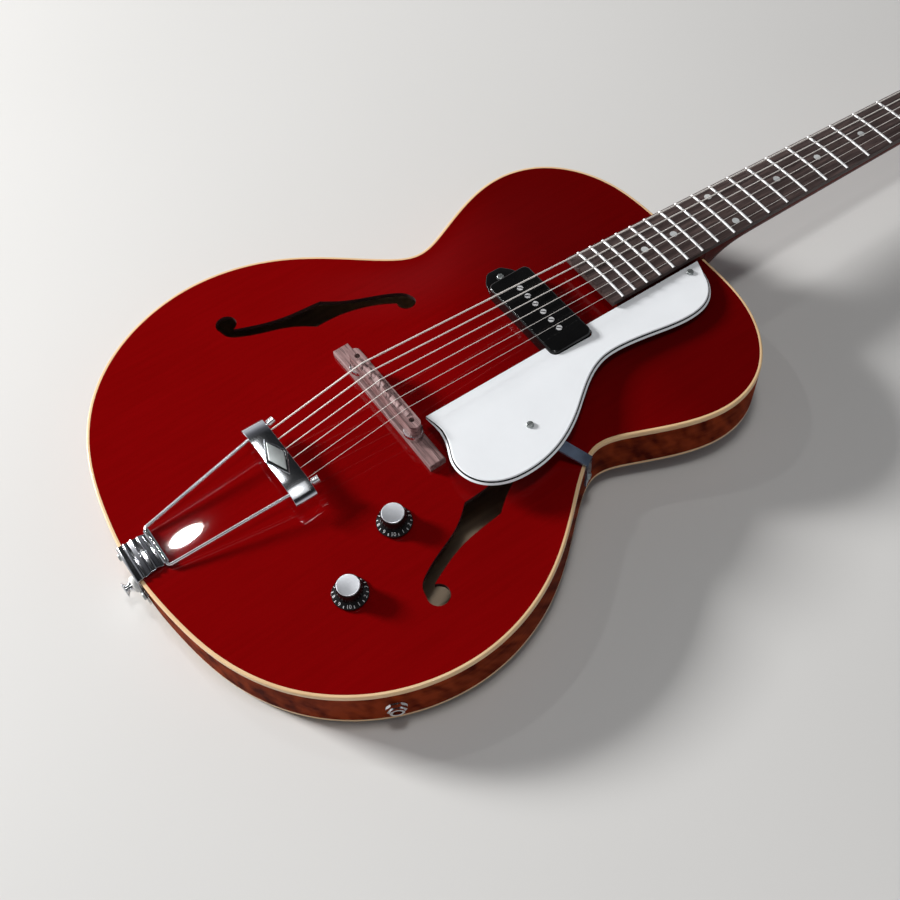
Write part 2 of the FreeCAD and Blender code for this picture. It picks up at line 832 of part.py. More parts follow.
def make_tuners():
    """Six closed tuners: housing, bushing, screw, post with its gear, and key with its worm."""
    housings = []
    bushings = []
    screws = []
    for number, (side, x, a) in enumerate(tuner_sites(), 1):
        low = -head_thickness - housing_depth
        start = -housing_inner
        end = worm_offset + worm_radius + housing_gap + housing_wall
        edges = sorted((x - side * housing_inner, x + side * housing_outer))
        case = box(edges[0], edges[1], a + start, a + end, low, -head_thickness)
        case = case.makeFillet(2, [e for e in case.Edges if abs(e.tangentAt(e.FirstParameter).z) > 0.9])
        cavity = box(edges[0] + housing_wall, edges[1] - housing_wall, a + start + housing_wall,
                     a + end - housing_wall, low + housing_wall, -head_thickness + 1)
        lug_edges = sorted((x - side * housing_inner, x - side * (housing_inner + 7)))
        lug = box(lug_edges[0] - 1, lug_edges[1] + 1, a - 4, a + 4, -head_thickness - 1.4, -head_thickness)
        screw_x = x - side * (housing_inner + 3.8)
        key_level = gear_plane
        outward = Vector(side, 0, 0)
        key_start = Vector(x - side * (housing_inner - 0.3), a + worm_offset, key_level)
        bearing = rod(key_start, outward, 60, key_radius + running_gap)
        pivot = rod(key_start - outward, outward, 4, key_tip_radius + running_gap)
        bearing = bearing.common(box(-200, 200, a, a + 60, low, 0)).cut(
            rod(key_start - outward, outward, housing_inner, key_radius + 1))
        screw = rod(Vector(screw_x, a, -head_thickness - 2.6), UP, 1.2, 2.2).fuse(
            rod(Vector(screw_x, a, -head_thickness - 2.6), UP, 9.6, 1.0))
        case = fuse([case, lug]).cut([cavity, bearing, pivot, screw])
        housings.append(placed(case, head_frame))
        screws.append(placed(screw, head_frame))
        bush = rod(Vector(x, a, -bushing_depth), UP, bushing_depth, bushing_radius).fuse(
            rod(Vector(x, a, 0), UP, flange_height, flange_radius))
        bush = bush.cut(rod(Vector(x, a, -20), UP, 40, post_radius + running_gap))
        bushings.append(placed(bush, head_frame))
        post = rod(Vector(x, a, gear_plane - gear_thickness / 2), UP,
                   post_height - gear_plane + gear_thickness / 2, post_radius)
        post = fuse([post, gear_disc(x, a)])
        string_eye = rod(Vector(x - 10, a, turn_level + 2.6), Vector(1, 0, 0), 20, 0.9)
        add(f"tuner_post_{number}", placed(post.cut(string_eye), head_frame))
        tip = rod(key_start, outward, 3, key_tip_radius)
        shank = rod(key_start + outward * 1.6, outward, housing_inner + button_start + 2, key_radius)
        worm_start = Vector(x - side * worm_length / 2, a + worm_offset, key_level)
        worm = rod(worm_start, outward, worm_length, worm_radius)
        centre = Vector(x + side * (button_start + button_length / 2), a + worm_offset,
                        key_level - button_thickness / 2)
        oval = Part.Ellipse(centre, button_length / 2, button_width / 2).toShape()
        button = Part.Face(Part.Wire(oval)).extrude(Vector(0, 0, button_thickness))
        button = button.makeFillet(button_thickness * 0.36, button.Edges)
        add(f"tuner_key_{number}", placed(fuse([tip, shank, worm, button]), head_frame))
    add("tuner_housings", housings)
    add("tuner_bushings", bushings)
    carve("neck", screws)
    return screws


# Strings

def rounded_path(points, radii):
    """Straight runs joined by tangent arcs; radii holds one value for each inner point."""
    edges = []
    last = points[0]
    for before, corner, after, radius in zip(points, points[1:], points[2:], radii):
        to_before = (before - corner).normalize()
        to_after = (after - corner).normalize()
        half_turn = (math.pi - to_before.getAngle(to_after)) / 2
        cut = radius * math.tan(half_turn)
        start = corner + to_before * cut
        end = corner + to_after * cut
        middle_way = (to_before + to_after).normalize()
        middle = corner + middle_way * (radius / math.cos(half_turn) - radius)
        edges.append(Part.makeLine(last, start))
        edges.append(Part.Arc(start, middle, end).toShape())
        last = end
    edges.append(Part.makeLine(last, points[-1]))
    return edges


def tube(edges, radius):
    """Round bar along a path; its volume is compared with its section times its length."""
    path = Part.Wire(edges)
    first = edges[0]
    start = first.valueAt(first.FirstParameter)
    direction = first.tangentAt(first.FirstParameter)
    profile = Part.Wire(Part.makeCircle(radius, start, direction))
    solid = path.makePipeShell([profile], True, False)
    share = solid.Volume / (math.pi * radius * radius * path.Length)
    return solid, share, path.Length


saddle_z = (neck_frame.multVec(Vector(0, saddle_u, string_over_saddle))).z


def string_seat(k):
    """Centre of a string where it crosses the saddle's crest."""
    x = string_x(saddle_spread, k)
    return Vector(x, saddle_y + compensation[k], saddle_z - crown_drop(x) + string_gauges[k] / 2)


def make_strings():
    """Each string runs whole from its ball end under the tailpiece bar to the turns on its post."""
    solids = []
    for k, gauge in enumerate(string_gauges):
        side, post, turn_radius, touch = post_touch(k)
        anchor = Vector(string_x(bar_spread, k), bar_y + 2, string_level)
        seat = string_seat(k)
        bend = neck_frame.multVec(over_nut(k))
        first_angle = math.atan2(touch.y - post.y, touch.x - post.x)
        pitch = gauge + turn_gap

        def on_post(turn):
            angle = first_angle - side * 2 * math.pi * turn
            local = Vector(post.x + turn_radius * math.cos(angle), post.y + turn_radius * math.sin(angle),
                           turn_level - pitch * turn)
            return head_frame.multVec(local)

        edges = rounded_path([anchor, seat, bend, on_post(0)], [string_bend, string_bend])
        quarters = int(post_turns * 4)
        for q in range(quarters):
            edges.append(Part.Arc(on_post(q / 4), on_post((q + 0.5) / 4), on_post((q + 1) / 4)).toShape())
        solid, share, length = tube(edges, gauge / 2)
        samples = [on_post(q / 40) for q in range(int(post_turns * 40) + 1)]
        gap = min((a - b).Length for i, a in enumerate(samples) for b in samples[i + 25:]) - gauge
        print(f"string {k + 1}: length {length:.1f}, volume share {share:.3f}, least gap {gap:.2f}")
        along = (seat - anchor).normalize()
        ball = Part.makeCylinder(ball_radius, ball_length, anchor - along * ball_length * 0.6, along)
        solids.append(fuse([solid, ball]))
    add("strings", solids)


# Bridge

wheel_bottom = base_top + wheel_lift
saddle_bottom = wheel_bottom + wheel_thickness + saddle_gap


def make_bridge():
    half_length = base_length / 2
    base = box(-half_length, half_length, base_y - base_width / 2, base_y + base_width / 2, 0, base_top)
    base = base.makeFillet(1.0, [e for e in base.Edges if e.BoundBox.ZMin > base_top / 2])
    base = base.cut(top_outer)
    studs = []
    bores = []
    for name, side in (("bass", -1), ("treble", 1)):
        foot = Vector(side * stud_spacing / 2, saddle_y, base_top - stud_sink)
        studs.append(rod(foot, UP, stud_top - foot.z, stud_radius))
        bores.append(rod(foot - UP * 5, UP, 60, stud_radius + running_gap))
        wheel = rod(Vector(foot.x, foot.y, wheel_bottom), UP, wheel_thickness, wheel_radius)
        wheel = wheel.makeChamfer(0.5, wheel.Edges[0:1] + wheel.Edges[2:3])
        notches = []
        for k in range(wheel_notches):
            angle = 2 * math.pi * k / wheel_notches
            place = Vector(foot.x + (wheel_radius + 0.25) * math.cos(angle),
                           foot.y + (wheel_radius + 0.25) * math.sin(angle), wheel_bottom - 1)
            notches.append(rod(place, UP, wheel_thickness + 2, 0.6))
        add(f"thumbwheel_{name}", wheel.cut(notches + [bores[-1]]))
    add("bridge_base", base.cut(studs))
    add("bridge_studs", studs)
    end = saddle_width / 2
    half_saddle = saddle_length / 2
    body = box(-half_saddle, half_saddle, saddle_y - end, saddle_y + end, saddle_bottom, saddle_body_top)
    upright = [e for e in body.Edges if abs(e.tangentAt(e.FirstParameter).z) > 0.9]
    body = body.makeFillet(end * 0.92, upright)
    crests = []
    pitch = saddle_spread / (len(string_gauges) - 1)
    for k, gauge in enumerate(string_gauges):
        seat = string_seat(k)
        top = seat.z - gauge / 2 - string_seat_gap
        left = seat.x - pitch / 2
        profile = polygon([(left, saddle_y - end * crest_reach, saddle_body_top - 1),
                           (left, seat.y - crest_flat / 2, top), (left, seat.y + crest_flat / 2, top),
                           (left, saddle_y + end * crest_reach, saddle_body_top - 1)])
        crests.append(profile.extrude(Vector(pitch, 0, 0)))
    add("bridge_saddle", fuse([body] + crests).cut(bores))


# Tailpiece

knuckle_z = hinge_lift + knuckle_radius
rod_corner_x = hinge_width / 2 + 2.4


def rod_ends():
    """Right-hand corner of the tailpiece rods and their free end."""
    corner = Vector(rod_corner_x, knuckle_y, knuckle_z)
    return corner, Vector(rod_corner_x + rod_fan, rod_end_y, rod_end_z)


def make_tailpiece():
    """Hinge plate over the tail, the bent rods, and the bar that holds the strings."""
    half_width = hinge_width / 2
    wide_half = half_width + hinge_flare
    tail_face = tail_y - tail_gap
    high = hinge_lift + hinge_plate
    leaf = box(-half_width, half_width, tail_face - hinge_plate, knuckle_y, hinge_lift, high)
    wide_leaf = box(-wide_half, wide_half, tail_face - hinge_plate, hinge_step_y, hinge_lift, high)
    flare = tail_leaf_width / 2
    drop = hinge_lift - tail_leaf_length
    right_edge = [(wide_half, high), (wide_half, tail_leaf_neck_z), (flare, tail_leaf_top_z),
                  (flare, tail_leaf_low_z), (tail_leaf_tip / 2, drop)]
    edge = right_edge + [(-x, z) for x, z in reversed(right_edge)]
    down = polygon([(x, tail_face, z) for x, z in edge]).extrude(Vector(0, -hinge_plate, 0))
    knuckle = rod(Vector(-half_width, knuckle_y, knuckle_z), Vector(1, 0, 0), hinge_width, knuckle_radius)
    ribs = []
    for y in rib_sites:
        ribs.append(rod(Vector(-wide_half, y, high), Vector(1, 0, 0), 2 * wide_half, rib_radius))
    pin_bore = rod(Vector(-60, knuckle_y, knuckle_z), Vector(1, 0, 0), 120, rod_wire + running_gap)
    plate = fuse([leaf, wide_leaf, down, knuckle] + ribs).cut(pin_bore)
    plate = plate.cut(shifted(top_outer, glue_gap))
    add("tailpiece_hinge", plate)
    corner, end = rod_ends()
    left_corner = Vector(-corner.x, corner.y, corner.z)
    left_end = Vector(-end.x, end.y, end.z)
    course = rounded_path([left_end, left_corner, corner, end], [rod_corner, rod_corner])
    solid, share, length = tube(course, rod_wire)
    print(f"tailpiece rods: length {length:.1f}, volume share {share:.3f}")
    heads = [rod(tip, (tip - low_end).normalize() * -1, rod_head_length, rod_head_radius)
             for low_end, tip in ((corner, end), (left_corner, left_end))]
    add("tailpiece_rods", fuse([solid] + heads))
    half_bar = bar_length / 2
    low = bar_top - bar_drop
    block = box(-half_bar, half_bar, bar_y - bar_width / 2, bar_y + bar_width / 2, low, bar_top)
    block = block.makeFillet(bar_end_radius, [e for e in block.Edges if e.BoundBox.ZMin > bar_top - 0.1
                                              and e.BoundBox.YLength > 1])
    inner_half = half_bar - bar_plate
    inner = box(-inner_half, inner_half, bar_y - bar_width, bar_y + bar_width / 2 - bar_plate, low - 1,
                bar_top - bar_plate)
    inner = inner.makeFillet(bar_end_radius - bar_plate, [e for e in inner.Edges
                                                          if e.BoundBox.ZMin > bar_top - bar_plate - 0.1
                                                          and e.BoundBox.YLength > 1])
    shell = block.cut(inner)

    def rhombus(grow, z):
        long = lozenge_length / 2 + grow
        short = lozenge_width / 2 + grow
        return Part.makePolygon([Vector(-long, bar_y, z), Vector(0, bar_y - short, z), Vector(long, bar_y, z),
                                 Vector(0, bar_y + short, z), Vector(-long, bar_y, z)])
    border = loft([rhombus(0, bar_top), rhombus(-lozenge_bevel, bar_top + lozenge_rise)], True)
    block_base = rhombus(-lozenge_border, bar_top)
    block = loft([block_base, rhombus(-lozenge_border - lozenge_bevel, bar_top + lozenge_block)], True)
    holes = []
    for k in range(len(string_gauges)):
        anchor = Vector(string_x(bar_spread, k), bar_y + 2, string_level)
        holes.append(bar(anchor, string_seat(k), string_hole))
    for start, tip in ((corner, end), (left_corner, left_end)):
        holes.append(bar(start, tip, rod_wire + rod_clearance))
    add("tailpiece_bar", fuse([shell, border, block]).cut(holes))


# Pickup

def make_pickup():
    half_length = pickup_length / 2
    half_width = pickup_width / 2
    body = round_block(half_length, half_width, -top_thickness, pickup_top, pickup_corner, pickup_y)
    top_edges = [e for e in body.Edges if e.BoundBox.ZMin > pickup_top - 0.1]
    body = body.makeFillet(1.2, top_edges)
    ears = []
    for side in (-1, 1):
        tip = side * ear_tip_x
        root = side * (half_length - pickup_corner)
        tip_half = ear_tip_width / 2
        ear = polygon([(root, pickup_y - half_width, -1), (tip, pickup_y - tip_half, -1),
                       (tip, pickup_y + tip_half, -1), (root, pickup_y + half_width, -1)])
        ear = ear.extrude(Vector(0, 0, pickup_top))
        ear = ear.makeFillet(3.5, [e for e in ear.Edges if e.BoundBox.ZLength > 5
                                   and abs(e.CenterOfMass.x) > half_length])
        ears.append(ear.common(shifted(top_outer, ear_thickness)))
    hollow = round_block(half_length - pickup_wall, half_width - pickup_wall, -2 * top_thickness,
                         pickup_top - pickup_wall, pickup_corner - pickup_wall, pickup_y)
    places = [Vector(pole_span * (k / 5 - 0.5), pickup_y, 0) for k in range(6)]
    heads = [rod(p + UP * (pickup_top - 2), UP, 4, pole_radius + pickup_gap / 3) for p in places]
    cover = fuse([body] + ears).cut([top_outer, hollow] + heads)
    add("pickup_cover", cover)
    coil_top = pickup_top - pickup_wall - pickup_gap
    shanks = [rod(p + UP * (coil_bottom - 20), UP, 60, pole_shank + glue_gap) for p in places]
    bobbin = round_block(coil_length / 2, coil_width / 2, coil_bottom, coil_top, pickup_corner, pickup_y)
    core = round_block(coil_length / 2 - bobbin_groove, coil_width / 2 - bobbin_groove, coil_bottom, coil_top,
                       pickup_corner - bobbin_groove, pickup_y)
    groove_low = coil_bottom + bobbin_flange
    groove_high = coil_top - bobbin_flange
    groove = round_block(coil_length, coil_width, groove_low, groove_high, pickup_corner, pickup_y).cut(core)
    head_seats = [rod(p + UP * (pickup_top + pole_proud - 3), UP, 10, pole_radius + glue_gap) for p in places]
    add("pickup_bobbin", bobbin.cut([groove] + shanks + head_seats))
    winding = round_block(coil_length / 2 - winding_inset, coil_width / 2 - winding_inset, groove_low,
                          groove_high, pickup_corner - winding_inset, pickup_y)
    add("pickup_coil", winding.cut(core))
    poles = []
    for p in places:
        top = pickup_top + pole_proud
        screw = fuse([rod(p + UP * (top - 3), UP, 3, pole_radius),
                      rod(p + UP * (top - pole_length), UP, pole_length, pole_shank)])
        slot = box(p.x - 4, p.x + 4, p.y - 0.45, p.y + 0.45, top - 0.9, top + 1)
        slot.rotate(p, UP, 40)
        poles.append(screw.cut(slot))
    add("pickup_poles", poles)
    magnets = []
    for side in (-1, 1):
        near = pickup_y + side * (pole_shank + 0.6)
        far = pickup_y + side * (coil_width / 2 - 1)
        magnets.append(box(-coil_length / 2 + 3, coil_length / 2 - 3, min(near, far), max(near, far),
                           coil_bottom - magnet_height, coil_bottom))
    add("pickup_magnets", magnets)


# Controls and wiring

def knob_floor(site):
    """Underside of a knob's skirt: clear of the highest point of the top below it."""
    around = [top_height(site.x + knob_radius * math.cos(k * math.pi / 4),
                         site.y + knob_radius * math.sin(k * math.pi / 4)) for k in range(8)]
    return max(around) + knob_float


def make_controls():
    pots = []
    nuts = []
    for name, site in zip(("volume", "tone"), control_sites):
        floor = knob_floor(site)
        high = floor + knob_height
        middle = top_height(site.x, site.y)
        profile = [(shaft_radius, floor + knob_wall + 2), (knob_hub_low - knob_wall, floor + knob_wall + 2),
                   (knob_hub_low - knob_wall + 1, floor), (knob_radius, floor),
                   (knob_radius, floor + knob_rim), (knob_hub_low, floor + knob_skirt),
                   (knob_hub_high, high - knob_cap_thickness), (shaft_radius, high - knob_cap_thickness)]
        section = polygon([(site.x + r, site.y, z) for r, z in profile])
        add(f"{name}_knob", section.revolve(site, UP, 360))
        cap_low = high - knob_cap_thickness
        add(f"{name}_cap", rod(site + UP * cap_low, UP, knob_cap_thickness, knob_cap_radius))
        shaft_low = middle - top_thickness
        add(f"{name}_shaft", rod(site + UP * shaft_low, UP, cap_low - shaft_low, shaft_radius))
        pot_top = middle - top_thickness - 2
        bush_top = floor + knob_wall + 1.4
        case = fuse([rod(site + UP * (pot_top - pot_height), UP, pot_height, pot_radius),
                     rod(site + UP * pot_top, UP, bush_top - pot_top, pot_bush_radius)])
        pots.append(case.cut(rod(site + UP * shaft_low, UP, 60, shaft_radius + running_gap)))
        hexagon = Part.makePolygon([site + Vector(pot_nut_radius * math.cos(math.pi * k / 3),
                                                  pot_nut_radius * math.sin(math.pi * k / 3), floor + 0.2)
                                    for k in range(7)])
        washer = rod(site + UP * (middle - 1.5), UP, floor + 0.2 - middle + 1.5, pot_nut_radius)
        nut = Part.Face(hexagon).extrude(Vector(0, 0, pot_nut_height)).fuse(washer)
        nut = nut.cut([rod(site, UP, 60, pot_bush_radius + glue_gap), top_outer])
        nuts.append(nut)
    add("pots", pots)
    tone_bottom = pots[1].BoundBox.ZMin
    volume_bottom = pots[0].BoundBox.ZMin
    capacitor_site = control_sites[1] + Vector(5, -5, tone_bottom - capacitor_height)
    capacitor = rod(capacitor_site, UP, capacitor_height, capacitor_radius)
    rim, outward = rim_at(jack_y)
    mouth = Vector(rim.x, rim.y, jack_z) + outward * jack_proud
    inward = outward * -1
    barrel = rod(mouth, inward, jack_length, jack_barrel)
    wall_inside = jack_proud + side_thickness
    collar = rod(mouth + inward * (wall_inside + jack_relief), inward, 3, jack_nut_radius)
    bore = rod(mouth - inward, inward, jack_bore_depth + 1, jack_bore)
    bore_end = rod(mouth + inward * jack_bore_depth, inward, jack_end_length, jack_end_radius)
    add("output_jack", fuse([barrel, collar]).cut([bore, bore_end]))
    washer_start = mouth + inward * (jack_proud - jack_washer_thickness)
    washer = rod(washer_start, inward, jack_washer_thickness, jack_washer_radius)
    nut_start = washer_start - inward * jack_nut_thickness
    turn = Vector(-outward.y, outward.x, 0)
    corners = [nut_start + turn * (jack_nut_radius * math.cos(math.pi * k / 3))
               + UP * (jack_nut_radius * math.sin(math.pi * k / 3)) for k in range(7)]
    hexagon = Part.Face(Part.makePolygon(corners)).extrude(inward * jack_nut_thickness)
    barrel_hole = rod(mouth - inward, inward, jack_length, jack_barrel + fit_gap)
    jack_nut = fuse([washer, hexagon]).cut([barrel_hole, nodes["rim_sides"]])
    add("control_nuts", nuts + [jack_nut])
    carve("rim_sides", [barrel_hole])
    carve("linings", [rod(mouth, inward, jack_length, jack_nut_radius + jack_relief)])
    volume = control_sites[0] + UP * volume_bottom
    tone = control_sites[1] + UP * tone_bottom
    jack_end = mouth + inward * jack_length
    low = coil_bottom - magnet_height
    leads = {
        "pickup lead": [Vector(16, pickup_y - 6, low), Vector(16, pickup_y - 7, low - 12),
                        Vector(22, -178, low - 24), Vector(36, -222, low - 26), Vector(52, -262, low - 27),
                        Vector(66, -300, low - 25), Vector(76, -324, low - 22), volume + Vector(-4, 3, -10),
                        volume + Vector(-4, 2, 0)],
        "tone lead": [volume + Vector(3, -5, 0), volume + Vector(3, -6, -9), volume + Vector(10, -20, -16),
                      tone + Vector(-12, 18, -15), tone + Vector(-4, 6, -9), tone + Vector(-4, 5, 0)],
        "jack lead": [volume + Vector(6, 3, 0), volume + Vector(7, 3, -9), volume + Vector(18, 0, -18),
                      volume + Vector(38, -18, -20), jack_end + Vector(-32, 14, -4), jack_end + inward * 10,
                      jack_end]}
    solids = [capacitor]
    for name, points in leads.items():
        radii = []
        for before, corner, after in zip(points, points[1:], points[2:]):
            shorter = min((before - corner).Length, (after - corner).Length)
            turned = math.pi - (before - corner).getAngle(after - corner)
            radii.append(0.45 * shorter / math.tan(turned / 2))
        solid, share, length = tube(rounded_path(points, radii), lead_radius)
        print(f"{name}: length {length:.1f}, volume share {share:.3f}, radii", [round(r, 1) for r in radii])
        solids.append(solid)
    add("wiring", solids)


# Pickguard

guard_slope = math.tan(math.radians(neck_tilt))


def guard_height(y):
    return neck_height - guard_drop - guard_slope * y


def make_pickguard():
    """Flat guard parallel to the strings, its bracket at the waist and its spacer by the neck."""
    corner = [Vector(x, y, 0) for x, y in guard_edge]
    outer = spline(corner)
    straight = Part.makeLine(corner[-1], corner[0])
    sheet = Part.Face(Part.Wire([outer, straight])).extrude(Vector(0, 0, guard_thickness))
    notch = round_block(pickup_length / 2 + guard_gap, pickup_width / 2 + guard_gap, -guard_thickness,
                        2 * guard_thickness, pickup_corner, pickup_y)
    sheet = sheet.cut(notch)
    tilt = FreeCAD.Placement(Vector(0, 0, neck_height - guard_drop - guard_thickness),
                             FreeCAD.Rotation(Vector(1, 0, 0), -neck_tilt))
    add("pickguard", placed(sheet, tilt))
    under = guard_thickness / math.cos(math.radians(neck_tilt)) + bracket_gap
    x, y = guard_neck_screw
    half_size = spacer_size / 2
    block = box(x - half_size, x + half_size, y - half_size, y + half_size, 0, 40)
    above = placed(box(-200, 200, -300, 100, guard_thickness - under, 80),
                   FreeCAD.Placement(Vector(0, 0, neck_height - guard_drop - guard_thickness),
                                     FreeCAD.Rotation(Vector(1, 0, 0), -neck_tilt)))
    add("pickguard_spacer", block.cut([above, top_outer]))
    rim, outward = rim_at(bracket_rim_y)
    half_strip = Vector(-outward.y, outward.x, 0) * (bracket_width / 2)
    knee = rim + outward * (bracket_side_gap + bracket_thickness) + UP * bracket_knee_z
    anchor = Vector(guard_tail_screw[0], guard_tail_screw[1], 0)
    bend = Vector(bracket_bend[0], bracket_bend[1], 0)
    run = (bend - anchor).normalize()
    pad_side = Vector(-run.y, run.x, 0) * (bracket_width / 2)
    lap = (Vector(knee.x, knee.y, 0) - bend).normalize() * bracket_lap
    behind = anchor - run * bracket_back
    pad_plan = (behind + pad_side, behind - pad_side, bend + lap - half_strip, bend + lap + half_strip)
    pad = polygon([(v.x, v.y, guard_height(v.y) - under) for v in pad_plan]).extrude(UP * -bracket_thickness)
    bend_top = bend + UP * (guard_height(bend.y + half_strip.y) - under)
    slope = polygon([bend_top + half_strip, bend_top - half_strip, knee - half_strip, knee + half_strip])
    foot = UP * (bracket_knee_z + bracket_leg)
    leg = polygon([knee + half_strip, knee - half_strip, knee - half_strip - foot, knee + half_strip - foot])
    strip = fuse([pad, slope.extrude(UP * -bracket_depth), leg.extrude(outward * -bracket_thickness)])
    add("pickguard_bracket", strip)
    return rim, outward


# Screws and strap button

def screw(place, axis):
    """Round-head wood screw; place is the underside of its head and axis points out of the wood."""
    head = rod(place, axis, screw_head_height, screw_head)
    rim = [e for e in head.Edges
           if (e.CenterOfMass - place) * axis > screw_head_height / 2 and len(e.Vertexes) == 1]
    head = head.makeFillet(screw_head_height * 0.6, rim)
    shank = rod(place - axis * screw_length, axis, screw_length, screw_shank)
    side = Vector(axis.y, axis.z, axis.x)
    side = (side - axis * (side * axis)).normalize()
    across = axis.cross(side)
    width = screw_slot / 2
    depth = screw_head_height * 0.5
    slot_start = place + axis * depth
    slot = Part.Face(Part.makePolygon([slot_start + side * a * 4 + across * b * width
                                       for a, b in ((-1, -1), (1, -1), (1, 1), (-1, 1), (-1, -1))]))
    return fuse([head, shank]).cut(slot.extrude(axis * 4))


def make_fasteners(bracket_rim, bracket_way):
    """Wood screws of the tailpiece, pickup, pickguard and head cover, and the strap button."""
    tail_face = tail_y - tail_gap - hinge_plate
    tail_sites = ((-tail_screw_x, tail_screw_z), (tail_screw_x, tail_screw_z), (0, tail_low_screw_z))
    tail_screws = [screw(Vector(x, tail_face, z), Vector(0, -1, 0)) for x, z in tail_sites]
    ear_screws = []
    for side in (-1, 1):
        x = side * ear_screw_x
        ear_screws.append(screw(Vector(x, pickup_y, top_height(x, pickup_y) + ear_thickness + 0.2), UP))
    x, y = guard_neck_screw
    guard_neck = screw(Vector(x, y, guard_height(y) + 0.2), UP)
    x, y = guard_tail_screw
    guard_tail = screw(Vector(x, y, guard_height(y) + 0.2), UP)
    face = bracket_rim + bracket_way * (bracket_side_gap + bracket_thickness)
    side_screw = screw(face - UP * bracket_screw_drop, bracket_way)
    cover_screws = [placed(screw(Vector(0, a, cover_thickness), UP), head_frame)
                    for a in (8.5, cover_length - 7)]
    everything = tail_screws + ear_screws + [guard_neck, guard_tail, side_screw] + cover_screws
    add("screws", everything + tuner_screws)
    carve("tailpiece_hinge", tail_screws)
    carve("rim_sides", tail_screws + [side_screw])
    carve("end_blocks", tail_screws + [guard_neck])
    carve("pickup_cover", ear_screws)
    carve("top_plate", ear_screws + [guard_neck])
    carve("tone_bars", ear_screws)
    carve("pickguard", [guard_neck, guard_tail])
    carve("pickguard_spacer", [guard_neck])
    carve("pickguard_bracket", [guard_tail, side_screw])
    carve("linings", [side_screw, guard_neck])
    carve("neck", cover_screws)
    carve("headstock_veneer", cover_screws)
    carve("truss_rod_cover", cover_screws)
    carve("truss_rod", cover_screws)
    out = Vector(0, -1, 0)
    seat = Vector(0, tail_face, strap_z)
    washer = rod(seat, out, washer_thickness, washer_radius)
    profile = [(0, 0), (strap_radius * 0.78, 0), (strap_radius * 0.72, strap_length * 0.12),
               (strap_radius * 0.5, strap_length * 0.42), (strap_radius * 0.62, strap_length * 0.66),
               (strap_radius, strap_length * 0.82),
               (strap_radius * 0.96, strap_length * 0.95), (0, strap_length)]
    base_y_level = tail_face - washer_thickness
    section = polygon([(r, base_y_level - d, strap_z) for r, d in profile])
    button = section.revolve(Vector(0, 0, strap_z), Vector(0, 1, 0), 360)
    core = rod(Vector(0, tail_face + 20, strap_z), out, 20 + washer_thickness, screw_shank * 1.3)
    add("strap_button", fuse([button, core]))
    add("strap_washer", washer.cut(core))
    for name in ("tailpiece_hinge", "rim_sides", "end_blocks"):
        carve(name, [core])


# Assembly, then the rest position

def rest_placement():
    """Lays the guitar on its back: the arched back and the head's tip on the same level, centred below."""
    tip = head_frame.multVec(Vector(0, head_length, -head_thickness))
    back = []
    for k in range(400):
        s = k / 400
        edge = arch_centre_y - binding_width - tail_y
        y = arch_centre_y - reach(s, edge - 2 * binding_width, arch_oval_length / 2)
        back.append(Vector(0, y, -rim_depth - arch_height(s, back_arch)))
    angle = 0.0
    for _ in range(30):
        lowest = min(back, key=lambda p: p.y * math.sin(angle) + p.z * math.cos(angle))
        angle = math.atan2(lowest.z - tip.z, tip.y - lowest.y)
    turn = FreeCAD.Rotation(Vector(1, 0, 0), math.degrees(angle))
    turned = FreeCAD.Placement(Vector(0, 0, 0), turn)
    boxes = [placed(shape, turned).optimalBoundingBox(False, False) for shape in nodes.values()]
    y_low = min(b.YMin for b in boxes)
    y_high = max(b.YMax for b in boxes)
    z_low = min(b.ZMin for b in boxes)
    print(f"rest tilt {math.degrees(angle):.3f} deg, length {y_high - y_low:.1f}")
    return FreeCAD.Placement(Vector(0, -(y_low + y_high) / 2, -z_low), turn)


make_body()
make_fingerboard()
make_neck()
mortise = box(-tenon_width / 2 - glue_gap, tenon_width / 2 + glue_gap, neck_end_y - tenon_length - glue_gap,
              neck_end_y + 5, -top_thickness - tenon_height - glue_gap, -top_thickness)
for node in ("end_blocks", "rim_sides", "linings"):
    carve(node, [mortise])
make_nut()
tuner_screws = make_tuners()
make_strings()
make_bridge()
make_tailpiece()
make_pickup()
make_controls()
bracket_sites = make_pickguard()
make_fasteners(*bracket_sites)

os.makedirs("parts", exist_ok=True)
rest = rest_placement()
print("rest placement", rest.Base, rest.Rotation.Angle)
for node, shape in nodes.items():
    final = placed(shape, rest)
    if not final.isValid():
        print("not valid:", node)
    print(node, "solids", len(final.Solids), "volume", round(final.Volume, 1))
    final.exportStep(f"parts/{node}.step")
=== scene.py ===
import json
import math

import bmesh
import bpy
import numpy as np
from mathutils import Euler, Matrix, Vector
from mathutils.geometry import delaunay_2d_cdt


